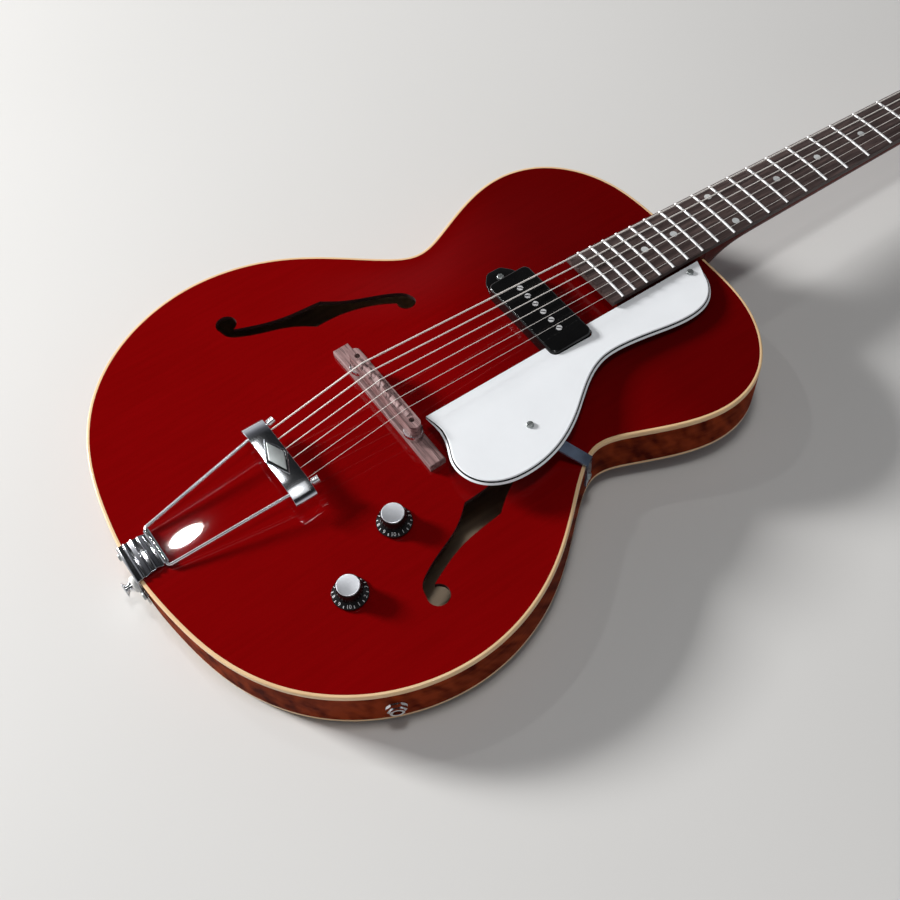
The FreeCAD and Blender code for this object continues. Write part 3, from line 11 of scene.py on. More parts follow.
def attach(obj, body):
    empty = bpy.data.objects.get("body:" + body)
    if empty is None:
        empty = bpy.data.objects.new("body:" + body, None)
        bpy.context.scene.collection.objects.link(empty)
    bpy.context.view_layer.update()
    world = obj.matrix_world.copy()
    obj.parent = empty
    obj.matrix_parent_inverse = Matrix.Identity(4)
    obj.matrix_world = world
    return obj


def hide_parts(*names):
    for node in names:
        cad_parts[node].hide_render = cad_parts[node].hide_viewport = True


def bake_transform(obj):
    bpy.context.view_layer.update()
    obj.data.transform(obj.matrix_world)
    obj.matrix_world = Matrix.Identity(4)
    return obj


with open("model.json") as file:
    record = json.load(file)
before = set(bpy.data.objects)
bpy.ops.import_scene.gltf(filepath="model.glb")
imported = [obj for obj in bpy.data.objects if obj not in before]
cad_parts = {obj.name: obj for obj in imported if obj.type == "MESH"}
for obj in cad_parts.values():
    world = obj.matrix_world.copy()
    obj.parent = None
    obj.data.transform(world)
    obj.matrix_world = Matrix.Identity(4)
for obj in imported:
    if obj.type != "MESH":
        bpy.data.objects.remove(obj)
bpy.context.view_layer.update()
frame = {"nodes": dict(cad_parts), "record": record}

# Sizes are in millimetres in the body frame: X to the treble side, Y along the neck with 0 at
# the neck joint, Z up with 0 at the top edge of the sides. to_row() turns them into the row
# frame in metres, where the guitar lies on its back.

rest_tilt = 0.033703822
rest_shift = np.array([0.0, -8.624406, 61.350786])

upper_half = 148.2
waist_half = 117.1
lower_half = 198.4
neck_end_y = 3.0
tail_y = -496.9
upper_y = -76.0
waist_y = -180.8
lower_y = -338.0
rim_depth = 43.0
binding_width = 2.4
side_thickness = 2.4
top_thickness = 4.0
back_thickness = 3.6
top_arch = 7.5
back_arch = 9.0
arch_spread = 1.3
arch_centre = np.array([0.0, -235.0])
arch_oval = np.array([150.0, 235.0])
neck_tilt = math.radians(3.5)
neck_height = 13.1


def tilted(points, angle, shift):
    """Points turned about X by an angle, so that Y dips for a positive one, then shifted."""
    p = np.asarray(points, float)
    c = math.cos(angle)
    s = math.sin(angle)
    x, y, z = np.moveaxis(p, -1, 0)
    return np.stack([x, c * y + s * z, c * z - s * y], axis=-1) + np.asarray(shift, float)


def to_row(points):
    """Body frame in millimetres to row frame in metres."""
    return tilted(points, -rest_tilt, rest_shift) / 1000


# Meshes: a part is (points, faces, marks), where marks number the material of each face

weld_distance = 2e-7
cad_weld_distance = 2e-6
cad_crease = math.radians(28)
quarter_steps = 7


def grid(points, wrap_rows=False, marks=0):
    """Part from points on a grid of rows and columns: quads between neighbours.

    The last column joins the first, and so do the rows where they wrap. marks is one number, or one
    for each band between two rows.
    """
    rows, columns = points.shape[:2]
    i = np.arange(rows if wrap_rows else rows - 1)
    band, j = np.meshgrid(i, np.arange(columns), indexing="ij")
    i_next = (band + 1) % rows
    j_next = (j + 1) % columns
    corners = [band * columns + j, band * columns + j_next,
               i_next * columns + j_next, i_next * columns + j]
    faces = np.stack(corners, axis=-1).reshape(-1, 4)
    each = np.broadcast_to(marks, len(i))[band.reshape(-1)]
    return points.reshape(-1, 3), faces, each


def slab(flat, triangles, high, low, marks=(0, 0, 0)):
    """Parts of a plate between two copies of a flat triangulated sheet; high and low are their points.

    marks number the upper face, the edge and the lower face. The edge joins the sides that belong to
    one triangle only.
    """
    count = len(flat)
    sides = np.concatenate([triangles[:, [0, 1]], triangles[:, [1, 2]], triangles[:, [2, 0]]])
    _, first, uses = np.unique(np.sort(sides, axis=1), axis=0, return_index=True, return_counts=True)
    rim = sides[first[uses == 1]]
    walls = np.stack([rim[:, 1], rim[:, 0], rim[:, 0] + count, rim[:, 1] + count], axis=1)
    points = np.concatenate([high, low])
    upper = (points, triangles, np.full(len(triangles), marks[0]))
    edge = (points, walls, np.full(len(walls), marks[1]))
    lower = (points, triangles[:, ::-1] + count, np.full(len(triangles), marks[2]))
    return [upper, edge, lower]


def new_piece(name, parts, materials, body="guitar", crease=32.0):
    """Mesh object from body-frame parts, welded and turned outwards; it rides on a body if one is given.

    Edges that bend by more than crease, in degrees, stay sharp.
    """
    offsets = np.cumsum([0] + [len(points) for points, _, _ in parts[:-1]])
    points = np.concatenate([points for points, _, _ in parts])
    faces = [face for offset, (_, part, _) in zip(offsets, parts) for face in (part + offset).tolist()]
    marks = np.concatenate([marks for _, _, marks in parts])
    mesh = bpy.data.meshes.new(name)
    mesh.from_pydata(to_row(points).tolist(), [], faces)
    for material in materials:
        mesh.materials.append(material)
    mesh.polygons.foreach_set("material_index", marks.astype(np.int32))
    shell = bmesh.new()
    shell.from_mesh(mesh)
    bmesh.ops.remove_doubles(shell, verts=shell.verts, dist=weld_distance)
    bmesh.ops.recalc_face_normals(shell, faces=shell.faces)
    shell.to_mesh(mesh)
    shell.free()
    mesh.polygons.foreach_set("use_smooth", np.ones(len(mesh.polygons), bool))
    mesh.set_sharp_from_angle(angle=math.radians(crease))
    mesh.update()
    piece = bpy.data.objects.new(name, mesh)
    bpy.context.scene.collection.objects.link(piece)
    if body:
        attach(piece, body)
    return piece


def unit_circle(count):
    """Points at equal steps round a circle of radius 1."""
    turn = np.linspace(0, 2 * math.pi, count, endpoint=False)
    return np.stack([np.cos(turn), np.sin(turn)], axis=1)


def lathe(profile, centre, axis, around=96):
    """Rings about an axis: each (radius, height) of the profile becomes a circle square to the axis."""
    axis = np.asarray(axis, float) / np.linalg.norm(axis)
    askew = (0.31, 0.67, 0.41)
    side = np.cross(axis, askew)
    side /= np.linalg.norm(side)
    circle = unit_circle(around)
    ring = circle[:, :1] * side + circle[:, 1:] * np.cross(axis, side)
    radius, height = np.asarray(profile, float).T
    return np.asarray(centre, float) + radius[:, None, None] * ring + height[:, None, None] * axis


def pointed(rings):
    """Rings with each end closed to the middle of its last ring."""
    count = rings.shape[1]
    first = np.repeat(rings[:1].mean(axis=1, keepdims=True), count, axis=1)
    last = np.repeat(rings[-1:].mean(axis=1, keepdims=True), count, axis=1)
    return np.concatenate([first, rings, last])


def wire(path, radius, sides=14):
    """Circles square to a path, kept level with the body, with closed ends."""
    along = np.gradient(path, axis=0)
    along /= np.linalg.norm(along, axis=1)[:, None]
    level = np.cross(along, (0, 0, 1.0))
    level /= np.linalg.norm(level, axis=1)[:, None]
    upright = np.cross(level, along)
    circle = unit_circle(sides)
    rim = circle[:, :1] * level[:, None] + circle[:, 1:] * upright[:, None]
    return pointed(path[:, None] + radius * rim)


def round_rectangle(half_x, half_y, corner, steps=8):
    """X and Y of a rectangle about 0, with a quarter circle of steps points for each corner."""
    quarter = np.linspace(0, math.pi / 2, steps)
    turn = np.concatenate([quarter + k * math.pi / 2 for k in range(4)])
    x = np.repeat([1, -1, -1, 1], steps) * (half_x - corner) + corner * np.cos(turn)
    y = np.repeat([1, 1, -1, -1], steps) * (half_y - corner) + corner * np.sin(turn)
    return x, y


def ribbon(path, half_width, thickness, corner, across):
    """Strip bent along a path: at each place a rounded rectangle that is wide in one direction.

    The rectangle's short way is square to the path.
    """
    across = np.asarray(across, float)
    along = np.gradient(path, axis=0)
    up = np.cross(across, along)
    up /= np.linalg.norm(up, axis=1)[:, None]
    width = np.broadcast_to(half_width, len(path))[:, None]
    side, rise = round_rectangle(width, thickness / 2, corner, steps=4)
    return pointed(path[:, None] + side[..., None] * across + rise[None, :, None] * up[:, None])


def rounded(points, radii, steps=8):
    """Line of straight runs with each inner corner turned into an arc that touches both runs."""
    points = np.asarray(points, float)
    line = [points[:1]]
    for before, corner, after, radius in zip(points, points[1:], points[2:], radii):
        to_before = (before - corner) / np.linalg.norm(before - corner)
        to_after = (after - corner) / np.linalg.norm(after - corner)
        half_turn = (math.pi - math.acos(np.clip(to_before @ to_after, -1, 1))) / 2
        middle = (to_before + to_after) / np.linalg.norm(to_before + to_after)
        centre = corner + middle * radius / math.cos(half_turn)
        sideways = (to_after - to_before) / np.linalg.norm(to_after - to_before)
        angle = np.linspace(-half_turn, half_turn, steps)[:, None]
        line.append(centre - radius * (np.cos(angle) * middle - np.sin(angle) * sideways))
    line.append(points[-1:])
    return np.concatenate(line)


def divided(line, step):
    """The same line with extra points, so that none is further than a step from the next."""
    runs = np.linalg.norm(np.diff(line, axis=0), axis=1)
    far = np.concatenate([[0], np.cumsum(runs)])
    extra = np.arange(0, far[-1], step)
    where = np.unique(np.concatenate([far, extra]).round(6))
    return np.stack([np.interp(where, far, line[:, k]) for k in range(line.shape[1])], axis=-1)


def soft_edge(soft):
    """Quarter circle from a wall to the face above it: (distance drawn in, height over that face)."""
    turn = np.linspace(0, math.pi / 2, quarter_steps)
    return np.stack([soft - soft * np.cos(turn), soft * np.sin(turn) - soft], axis=1)


def soft_block(loop, low, high, soft, spacing):
    """Parts of an upright block on a closed clockwise line, its upper edge rounded to a quarter circle.

    low and high are functions that give the height at any points of the plan; soft is the radius.
    """
    edge = np.concatenate([[(0, 0)], soft_edge(soft)])
    flat = loop + edge[:, :1, None] * inward(loop)
    rise = high(flat[..., 0], flat[..., 1])
    level = np.concatenate([low(flat[:1, :, 0], flat[:1, :, 1]), (rise + edge[:, 1:])[1:]])
    parts = [grid(np.concatenate([flat, level[..., None]], axis=-1))]
    for row, height in ((0, low), (-1, high)):
        sheet, triangles = fill([flat[row]], spacing)
        up = height(sheet[:, 0], sheet[:, 1])
        parts.append((np.column_stack([sheet, up]), triangles, np.zeros(len(triangles))))
    return parts


# Outlines

def spline(points, samples, closed=False):
    """Cubic spline through points, at equal steps of the summed chords; an open one ends unbent."""
    p = np.asarray(points, float)
    if closed:
        p = np.concatenate([p, p[:1]])
    n = len(p)
    h = np.linalg.norm(np.diff(p, axis=0), axis=1)
    slope = np.diff(p, axis=0) / h[:, None]
    system = np.eye(n)
    right = np.zeros_like(p)
    k = np.arange(1, n - 1)
    system[k, k - 1] = h[:-1]
    system[k, k] = 2 * (h[:-1] + h[1:])
    system[k, k + 1] = h[1:]
    right[1:-1] = 6 * np.diff(slope, axis=0)
    if closed:
        system[0, 0] = 2 * (h[-1] + h[0])
        system[0, 1] = h[0]
        system[0, -2] = h[-1]
        right[0] = 6 * (slope[0] - slope[-1])
        system[-1, 0] = -1
    bend = np.linalg.solve(system, right)
    knots = np.concatenate([[0], np.cumsum(h)])
    t = np.linspace(0, knots[-1], samples, endpoint=not closed)
    i = np.clip(np.searchsorted(knots, t, side="right") - 1, 0, n - 2)
    a = ((knots[i + 1] - t) / h[i])[:, None]
    b = 1 - a
    lift = (h[i] ** 2)[:, None] / 6
    return a * p[i] + b * p[i + 1] + ((a ** 3 - a) * bend[i] + (b ** 3 - b) * bend[i + 1]) * lift


def inward(edge):
    """Unit normals of a closed clockwise line of points, pointing inside."""
    along = np.roll(edge, -1, axis=0) - np.roll(edge, 1, axis=0)
    along /= np.linalg.norm(along, axis=1)[:, None]
    return np.stack([along[:, 1], -along[:, 0]], axis=1)


def inside(points, loop):
    """Even-odd rule: a point is inside where a ray to its right crosses the closed line oddly often."""
    x = points[:, :1]
    y = points[:, 1:]
    x0, y0 = loop.T
    x1, y1 = np.roll(loop, -1, axis=0).T
    straddles = (y0 > y) != (y1 > y)
    run = np.where(y1 == y0, 1.0, y1 - y0)
    return (straddles & (x < x0 + (y - y0) * (x1 - x0) / run)).sum(axis=1) % 2 == 1


def fill(loops, spacing):
    """Flat sheet inside the first closed line and outside the others, on a square net of points.

    Gives its points and triangles. Net points closer to a line than clear_share of a mesh are left out.
    """
    clear_share = 0.6
    tolerance = 1e-5
    edge = np.concatenate(loops)
    low = edge.min(axis=0)
    high = edge.max(axis=0)
    across = np.arange(low[0], high[0], spacing)
    along = np.arange(low[1], high[1], spacing)
    net = np.stack(np.meshgrid(across, along), axis=-1).reshape(-1, 2)
    near = np.hypot(net[:, :1] - edge[:, 0], net[:, 1:] - edge[:, 1]).min(axis=1)
    net = net[near > spacing * clear_share]
    links = []
    start = 0
    for loop in loops:
        k = np.arange(len(loop))
        links.append(np.stack([start + k, start + (k + 1) % len(loop)], axis=1))
        start += len(loop)
    everything = np.concatenate([edge, net]).tolist()
    links = np.concatenate(links).tolist()
    points, _, triangles = delaunay_2d_cdt(everything, links, [], 1, tolerance, False)[:3]
    points = np.array([tuple(point) for point in points])
    triangles = np.array(triangles)
    middle = points[triangles].mean(axis=1)
    keep = inside(middle, loops[0])
    for loop in loops[1:]:
        keep &= ~inside(middle, loop)
    return points, triangles[keep]


half_outline = np.array([
    (0, neck_end_y), (upper_half - 108, neck_end_y - 0.5), (upper_half - 68.8, neck_end_y - 4.6),
    (upper_half - 32.4, neck_end_y - 20.4), (upper_half - 9.2, upper_y + 34), (upper_half, upper_y),
    (upper_half - 7.7, upper_y - 39), (waist_half + 7.2, waist_y + 28.3), (waist_half, waist_y),
    (waist_half + 11.4, waist_y - 22.2), (waist_half + 33.6, waist_y - 48.9),
    (lower_half - 18.4, lower_y + 67), (lower_half, lower_y), (lower_half - 4.3, lower_y - 38.4),
    (lower_half - 24.4, lower_y - 84.5), (lower_half - 58.1, tail_y + 38.4),
    (lower_half - 103.4, tail_y + 14.9), (lower_half - 150.9, tail_y + 4.1), (0, tail_y)])
mirror_x = np.array([-1, 1])
whole_outline = np.concatenate([half_outline, half_outline[-2:0:-1] * mirror_x])
body_edge = spline(whole_outline, samples=720, closed=True)
plate_edge = body_edge + inward(body_edge) * binding_width
edge_away = plate_edge - arch_centre
edge_bearing = np.arctan2(edge_away[:, 0], edge_away[:, 1])
edge_order = np.argsort(edge_bearing)
edge_far = np.hypot(edge_away[:, 0], edge_away[:, 1])


def arch_reach(share, bearing):
    """Distance from the arch's middle at a share of the way out towards a bearing.

    It is share times the mean of the edge's and an oval's distance, weighted share squared and the rest.
    """
    edge = np.interp(bearing, edge_bearing[edge_order], edge_far[edge_order], period=2 * math.pi)
    oval = 1 / np.hypot(np.sin(bearing) / arch_oval[0], np.cos(bearing) / arch_oval[1])
    return share * (share * share * edge + (1 - share * share) * oval)


def arch_rise(share, rise):
    """Height of the arch: rise times the squared cosine of a quarter turn times share to a power."""
    return rise * np.cos(math.pi / 2 * share ** arch_spread) ** 2


def top_height(x, y):
    """Height of the top plate; a point's share of the way out is found by halving."""
    halvings = 30
    away = np.stack([x, y], axis=-1) - arch_centre
    far = np.hypot(away[..., 0], away[..., 1])
    bearing = np.arctan2(away[..., 0], away[..., 1])
    low = np.zeros_like(far)
    high = np.ones_like(far)
    for _ in range(halvings):
        share = (low + high) / 2
        short = arch_reach(share, bearing) < far
        low = np.where(short, share, low)
        high = np.where(short, high, share)
    return arch_rise((low + high) / 2, top_arch)


# Shaders

class Socket:
    """A shader value that can be used in Python expressions; each operator adds one Math node."""

    def __init__(self, tree, output):
        self.tree = tree
        self.output = output

    def node(self, kind, settings=None, **inputs):
        """Adds a node: settings are set first, then inputs by socket name, linked or as values."""
        made = self.tree.nodes.new(kind)
        for key, value in (settings or {}).items():
            if key == "stops":
                fill_ramp(made.color_ramp, value)
            else:
                setattr(made, key, value)
        for key, value in inputs.items():
            self.feed(find_input(made, key), value)
        return made

    def feed(self, target, value):
        """Links a shader value to an input socket, or sets the socket to a plain one."""
        if isinstance(value, Socket):
            self.tree.links.new(value.output, target)
        else:
            target.default_value = value

    def math(self, operation, *values):
        """Adds a Math node and gives its result."""
        made = self.tree.nodes.new("ShaderNodeMath")
        made.operation = operation
        for target, value in zip(made.inputs, values):
            self.feed(target, value)
        return Socket(self.tree, made.outputs[0])

    def __add__(self, other):
        return self.math("ADD", self, other)

    def __radd__(self, other):
        return self.math("ADD", other, self)

    def __rsub__(self, other):
        return self.math("SUBTRACT", other, self)

    def __mul__(self, other):
        return self.math("MULTIPLY", self, other)

    def __gt__(self, other):
        return self.math("GREATER_THAN", self, other)


def fill_ramp(ramp, stops):
    """Gives a colour ramp its (place, colour) stops, in rising order."""
    while len(ramp.elements) < len(stops):
        ramp.elements.new(0.5)
    for element, (place, colour) in zip(ramp.elements, stops):
        element.position = place
        element.color = (*colour, 1)


def find_input(node, key):
    """Input socket by its name with underscores for spaces: the first such one that is switched on."""
    name = key.replace("_", " ")
    return next(s for s in node.inputs if s.name == name and s.enabled)


class Finish:
    """One material: a Principled shader with texture coordinates and short names for its nodes."""

    def __init__(self, name, **constants):
        self.material = bpy.data.materials.new(name)
        self.material.use_nodes = True
        self.tree = self.material.node_tree
        self.shader = self.tree.nodes["Principled BSDF"]
        coordinates = self.tree.nodes.new("ShaderNodeTexCoord")
        self.place = Socket(self.tree, coordinates.outputs["Object"])
        for key, value in constants.items():
            find_input(self.shader, key).default_value = value

    def set(self, **inputs):
        for key, value in inputs.items():
            self.place.feed(find_input(self.shader, key), value)

    def scaled(self, scale):
        made = self.place.node("ShaderNodeMapping", Vector=self.place, Scale=scale)
        return Socket(self.tree, made.outputs[0])

    def slanted(self, turn, size):
        made = self.place.node("ShaderNodeMapping", {"vector_type": "TEXTURE"}, Vector=self.place,
                               Rotation=turn, Scale=size)
        return Socket(self.tree, made.outputs[0])

    def noise(self, at, scale=1.0, detail=3.0, rough=0.55, twist=0.0):
        made = self.place.node("ShaderNodeTexNoise", Vector=at, Scale=scale, Detail=detail,
                               Roughness=rough, Distortion=twist)
        return Socket(self.tree, made.outputs["Fac"])

    def ramp(self, value, stops):
        made = self.place.node("ShaderNodeValToRGB", {"stops": stops}, Fac=value)
        return Socket(self.tree, made.outputs["Color"])

    def blend(self, share, first, second):
        made = self.place.node("ShaderNodeMix", {"data_type": "RGBA"}, Factor=share, A=first, B=second)
        output = next(o for o in made.outputs if o.enabled)
        return Socket(self.tree, output)

    def bump(self, height, strength, distance):
        made = self.place.node("ShaderNodeBump", Height=height, Strength=strength, Distance=distance)
        self.set(Normal=Socket(self.tree, made.outputs[0]))


def rgb(red, green, blue):
    return (red, green, blue, 1.0)


def lacquered_cherry(name, light, dark, grain_scale, flame, coat=1.0, painted_neck_shade=0.0):
    """Clear gloss over stained wood: fine grain along the body, slow colour drift, and a flamed figure.

    The figure is noise drawn out along Z and slanted; flame is its strength. Towards the neck, along Y,
    the
    colour darkens by a given share: painted shade, standing in for the light falling off across the
    body.
    """
    made = Finish(name, Coat_Weight=coat, Coat_Roughness=0.02, IOR=1.5, Specular_IOR_Level=0.0)
    stretch = (grain_scale, grain_scale * 0.05, grain_scale)
    grain = made.noise(made.scaled(stretch), detail=5.0, rough=0.6)
    drift = made.noise(made.place, scale=6.0)
    slant = made.slanted((0.5, 0.4, 0), (1 / 110, 1 / 110, 1 / 4))
    figure = made.noise(slant, detail=1.0, rough=0.5, twist=0.1)
    share = grain * (0.55 - 0.3 * flame) + drift * 0.35 + figure * (0.6 * flame)
    split = made.place.node("ShaderNodeSeparateXYZ", Vector=made.place)
    along = Socket(made.tree, split.outputs["Y"])
    near_neck = made.ramp(along * 4 + 1.2, [(0.25, (0, 0, 0)), (0.8, (1, 1, 1))])
    colour = made.ramp(share, [(0.3 + 0.17 * flame, dark), (0.62 + 0.1 * flame, light)])
    # Painted shade: towards the neck the colour is blended towards near black, in place of the light's
    # falloff.
    painted_shade_colour = rgb(0.02, 0.0, 0.0)
    made.set(Base_Color=made.blend(near_neck * painted_neck_shade, colour, painted_shade_colour))
    made.set(Roughness=grain * 0.1 + 0.3)
    made.bump(made.noise(made.place, scale=90.0, detail=2.0), strength=0.03, distance=0.0004)
    return made.material


def bare_wood(name, light, dark):
    """Unfinished pale wood with straight grain."""
    made = Finish(name, Roughness=0.7)
    grain = made.noise(made.scaled((220, 12, 220)), detail=4.0, rough=0.6)
    drift = made.noise(made.place, scale=14.0)
    made.set(Base_Color=made.ramp(grain * 0.7 + drift * 0.3, [(0.35, dark), (0.65, light)]))
    made.bump(grain, strength=0.15, distance=0.0005)
    return made.material


def rosewood(name, along_x, light, middle, dark):
    """Open-grained dark wood with streaks and short pores along the grain."""
    made = Finish(name, Specular_IOR_Level=0.4)
    stretch = (14, 300, 300) if along_x else (300, 14, 300)
    pores_at = (60, 1500, 1500) if along_x else (1500, 60, 1500)
    streak = made.noise(made.scaled(stretch), detail=4.0, rough=0.6, twist=0.3)
    pores = made.noise(made.scaled(pores_at), detail=2.0, rough=0.5)
    colour = made.ramp(streak, [(0.3, dark), (0.52, middle), (0.7, light)])
    pit = pores > 0.6
    pit_colour = rgb(0.02, 0.01, 0.008)
    made.set(Base_Color=made.blend(pit * 0.7, colour, pit_colour))
    made.set(Roughness=0.42 + streak * 0.2)
    made.bump(1 - pit, strength=0.25, distance=0.0003)
    return made.material


def plated(name, light, dark, roughness, metal=1.0):
    """Metal plating with faint smears and fine scratches; with less metal it looks worn and chalky."""
    made = Finish(name, Metallic=metal)
    smear = made.noise(made.place, scale=60.0, detail=4.0)
    scratch = made.noise(made.scaled((900, 60, 900)), detail=2.0)
    made.set(Base_Color=made.ramp(smear, [(0.3, dark), (0.7, light)]))
    made.set(Roughness=smear * 0.06 + roughness)
    made.bump(scratch, strength=0.01, distance=0.00005)
    return made.material


def plastic(name, colour, worn, roughness, coat=0.0, shine=0.5):
    """Moulded plastic: slow tone drift, fine surface texture and slightly dull patches."""
    made = Finish(name, Coat_Weight=coat, Coat_Roughness=0.05, Specular_IOR_Level=shine)
    drift = made.noise(made.place, scale=30.0)
    fine = made.noise(made.place, scale=1800.0, detail=1.0)
    made.set(Base_Color=made.ramp(drift, [(0.3, worn), (0.7, colour)]))
    made.set(Roughness=roughness + drift * 0.08)
    made.bump(fine, strength=0.04, distance=0.0002)
    return made.material


# The top's colour is darkened towards the neck by half: painted shade for the light falling off across
# the body.
cherry_top = lacquered_cherry("cherry_top", (0.205, 0.0008, 0.0014), (0.172, 0.0006, 0.0008), 300,
                              flame=0.0, painted_neck_shade=0.5)
cherry_sides = lacquered_cherry("cherry_sides", (0.23, 0.033, 0.009), (0.065, 0.006, 0.002), 200,
                                flame=1.0, coat=0.05)
cherry_neck = lacquered_cherry("cherry_neck", (0.11, 0.010, 0.006), (0.05, 0.003, 0.002), 260,
                               flame=0.2, coat=0.3)
pale_wood = bare_wood("pale_wood", (0.72, 0.56, 0.40), (0.56, 0.42, 0.29))
# Painted shade: the inside is bare pale wood, but the top's underside and the sides' inner faces get
# this near-black colour to keep the hollow dark.
painted_shade_wood = bare_wood("painted_shade_wood", (0.08, 0.052, 0.034), (0.05, 0.03, 0.02))
hole_edge = bare_wood("hole_edge", (0.05, 0.006, 0.005), (0.02, 0.003, 0.003))
board_wood = rosewood("board_wood", False, (0.10, 0.066, 0.058), (0.056, 0.036, 0.033),
                      (0.024, 0.013, 0.011))
bridge_wood = rosewood("bridge_wood", True, (0.42, 0.27, 0.26), (0.28, 0.165, 0.16),
                       (0.10, 0.055, 0.052))
bright_chrome = plated("bright_chrome", (0.86, 0.87, 0.88), (0.74, 0.75, 0.77), 0.03)
satin_nickel = plated("satin_nickel", (0.80, 0.79, 0.76), (0.66, 0.65, 0.63), 0.18)
satin_silver = plated("satin_silver", (0.80, 0.82, 0.86), (0.66, 0.68, 0.72), 0.36)
dull_silver = plated("dull_silver", (0.44, 0.47, 0.46), (0.34, 0.36, 0.36), 0.42)
worn_steel = plated("worn_steel", (0.90, 0.90, 0.90), (0.70, 0.70, 0.71), 0.42, metal=0.55)
ridge_chrome = plated("ridge_chrome", (0.46, 0.47, 0.49), (0.38, 0.39, 0.41), 0.10)
bar_chrome = plated("bar_chrome", (0.84, 0.86, 0.89), (0.74, 0.76, 0.80), 0.12)
rod_chrome = plated("rod_chrome", (0.90, 0.90, 0.92), (0.78, 0.78, 0.80), 0.20, metal=0.82)
# Painted reflection: the bracket is chrome; its darker blue-grey tint stands in for the bluish
# surroundings that it reflects.
painted_reflection_plating = plated("painted_reflection_plating", (0.36, 0.46, 0.62), (0.16, 0.20, 0.27), 0.14, metal=0.75)
string_steel = plated("string_steel", (0.95, 0.90, 0.84), (0.86, 0.81, 0.75), 0.36, metal=0.3)
cream = plastic("cream", (0.80, 0.55, 0.30), (0.72, 0.46, 0.24), 0.3, coat=0.15)
black_gloss = plastic("black_gloss", (0.003, 0.003, 0.0032), (0.006, 0.006, 0.006), 0.14)
knob_black = plastic("knob_black", (0.003, 0.003, 0.0032), (0.006, 0.006, 0.006), 0.2, shine=0.2)
white_gloss = plastic("white_gloss", (0.89, 0.91, 0.93), (0.86, 0.88, 0.90), 0.3, coat=0.1)
digit_paint = plastic("digit_paint", (0.60, 0.61, 0.62), (0.46, 0.47, 0.48), 0.5)
bone = plastic("bone", (0.80, 0.74, 0.58), (0.70, 0.62, 0.45), 0.35)
felt_white = plastic("felt_white", (0.84, 0.83, 0.80), (0.70, 0.69, 0.66), 0.8)
pearl = plastic("pearl", (0.60, 0.61, 0.60), (0.34, 0.36, 0.37), 0.2, coat=0.5)


# Body

f_inner_tail = [(142.0, -347.8), (134.0, -345.8), (127.0, -337.3), (120.3, -323.5),
                (113.5, -306.5), (106.5, -295.0), (98.6, -285.6)]
f_inner_neck = [(98.6, -285.6), (98.0, -268.0), (93.8, -249.3), (86.5, -233.0), (79.5, -222.5)]
f_outer_neck = [(75.0, -209.6), (82.5, -210.6), (92.7, -221.5), (102.5, -242.0),
                (110.5, -257.1), (120.3, -270.0)]
f_outer_tail = [(120.3, -270.0), (121.4, -282.0), (123.0, -297.0), (127.5, -315.0), (135.2, -333.5)]
f_eyes = ((145.3, -340.3, 8.2), (77.0, -216.7, 7.4))


def f_hole_lines():
    """Closed lines of both sound holes: a stem of four splines each, and a circle for each eye."""
    runs = [spline(run, samples=24) for run in (f_inner_tail, f_inner_neck, f_outer_neck, f_outer_tail)]
    stem = np.concatenate([runs[0], runs[1][1:], runs[2], runs[3][1:]])
    circle = unit_circle(48)
    lines = [stem] + [np.array([x, y]) + radius * circle for x, y, radius in f_eyes]
    return lines + [line * mirror_x for line in lines]


def make_top():
    """Arched top plate: a flat net cut by the sound holes, lifted to the arch, and a copy below it."""
    flat, triangles = fill([plate_edge] + f_hole_lines(), spacing=5.0)
    high = top_height(flat[:, 0], flat[:, 1])
    upper = np.column_stack([flat, high])
    lower = np.column_stack([flat, high - top_thickness])
    parts = slab(flat, triangles, upper, lower, (0, 1, 2))
    # The top's underside gets near-black painted shade in place of its bare wood.
    piece = new_piece("top", parts, [cherry_top, hole_edge, painted_shade_wood])
    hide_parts("top_plate")


def make_back():
    """Arched back plate: rows at equal shares of the way out, columns at equal bearings.

    The rows run out over the outside, then back over the inside.
    """
    rings = 60
    columns = 360
    share = np.linspace(0, 1, rings)[:, None]
    bearing = np.linspace(-math.pi, math.pi, columns, endpoint=False)
    far = arch_reach(share, bearing)
    x = far * np.sin(bearing)
    y = far * np.cos(bearing) + arch_centre[1]
    drop = np.broadcast_to(arch_rise(share, back_arch), far.shape)
    outer = np.stack([x, y, -rim_depth - drop], axis=-1)
    inner = np.stack([x, y, back_thickness - rim_depth - drop], axis=-1)[::-1]
    marks = np.repeat([0, 1], [rings, rings - 1])
    parts = [grid(np.concatenate([outer, inner]), marks=marks)]
    piece = new_piece("back", parts, [cherry_sides, pale_wood])
    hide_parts("back_plate")


def around_rim(profile):
    """Rows at (distance in from the outline, height), carried round the outline."""
    profile = np.asarray(profile, float)
    flat = body_edge + profile[:, :1, None] * inward(body_edge)
    high = np.broadcast_to(profile[:, 1:], flat.shape[:2])
    return np.concatenate([flat, high[..., None]], axis=-1)


def make_rim():
    """Bent sides, and the two bindings: a bar each, its outer corner rounded to a quarter circle."""
    low = back_thickness - rim_depth
    high = -top_thickness
    profile = [(0, high), (0, low), (side_thickness, low), (side_thickness, high)]
    wall = [grid(around_rim(profile), wrap_rows=True, marks=[0, 1, 1, 1])]
    # The sides' inner faces get near-black painted shade in place of their bare wood.
    sides = new_piece("sides", wall, [cherry_sides, painted_shade_wood])
    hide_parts("rim_sides")
    arc = soft_edge(soft=1.2)
    parts = []
    for face, step, flip in ((0, high, 1), (-rim_depth, low, -1)):
        corner = np.array([0, face]) + arc * np.array([1, flip])
        bar = np.concatenate([[(binding_width, step), (0, step)], corner, [(binding_width, face)]])
        parts.append(grid(around_rim(bar), wrap_rows=True))
    bindings = new_piece("bindings_round", parts, [cream])
    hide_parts("bindings")


# Guard

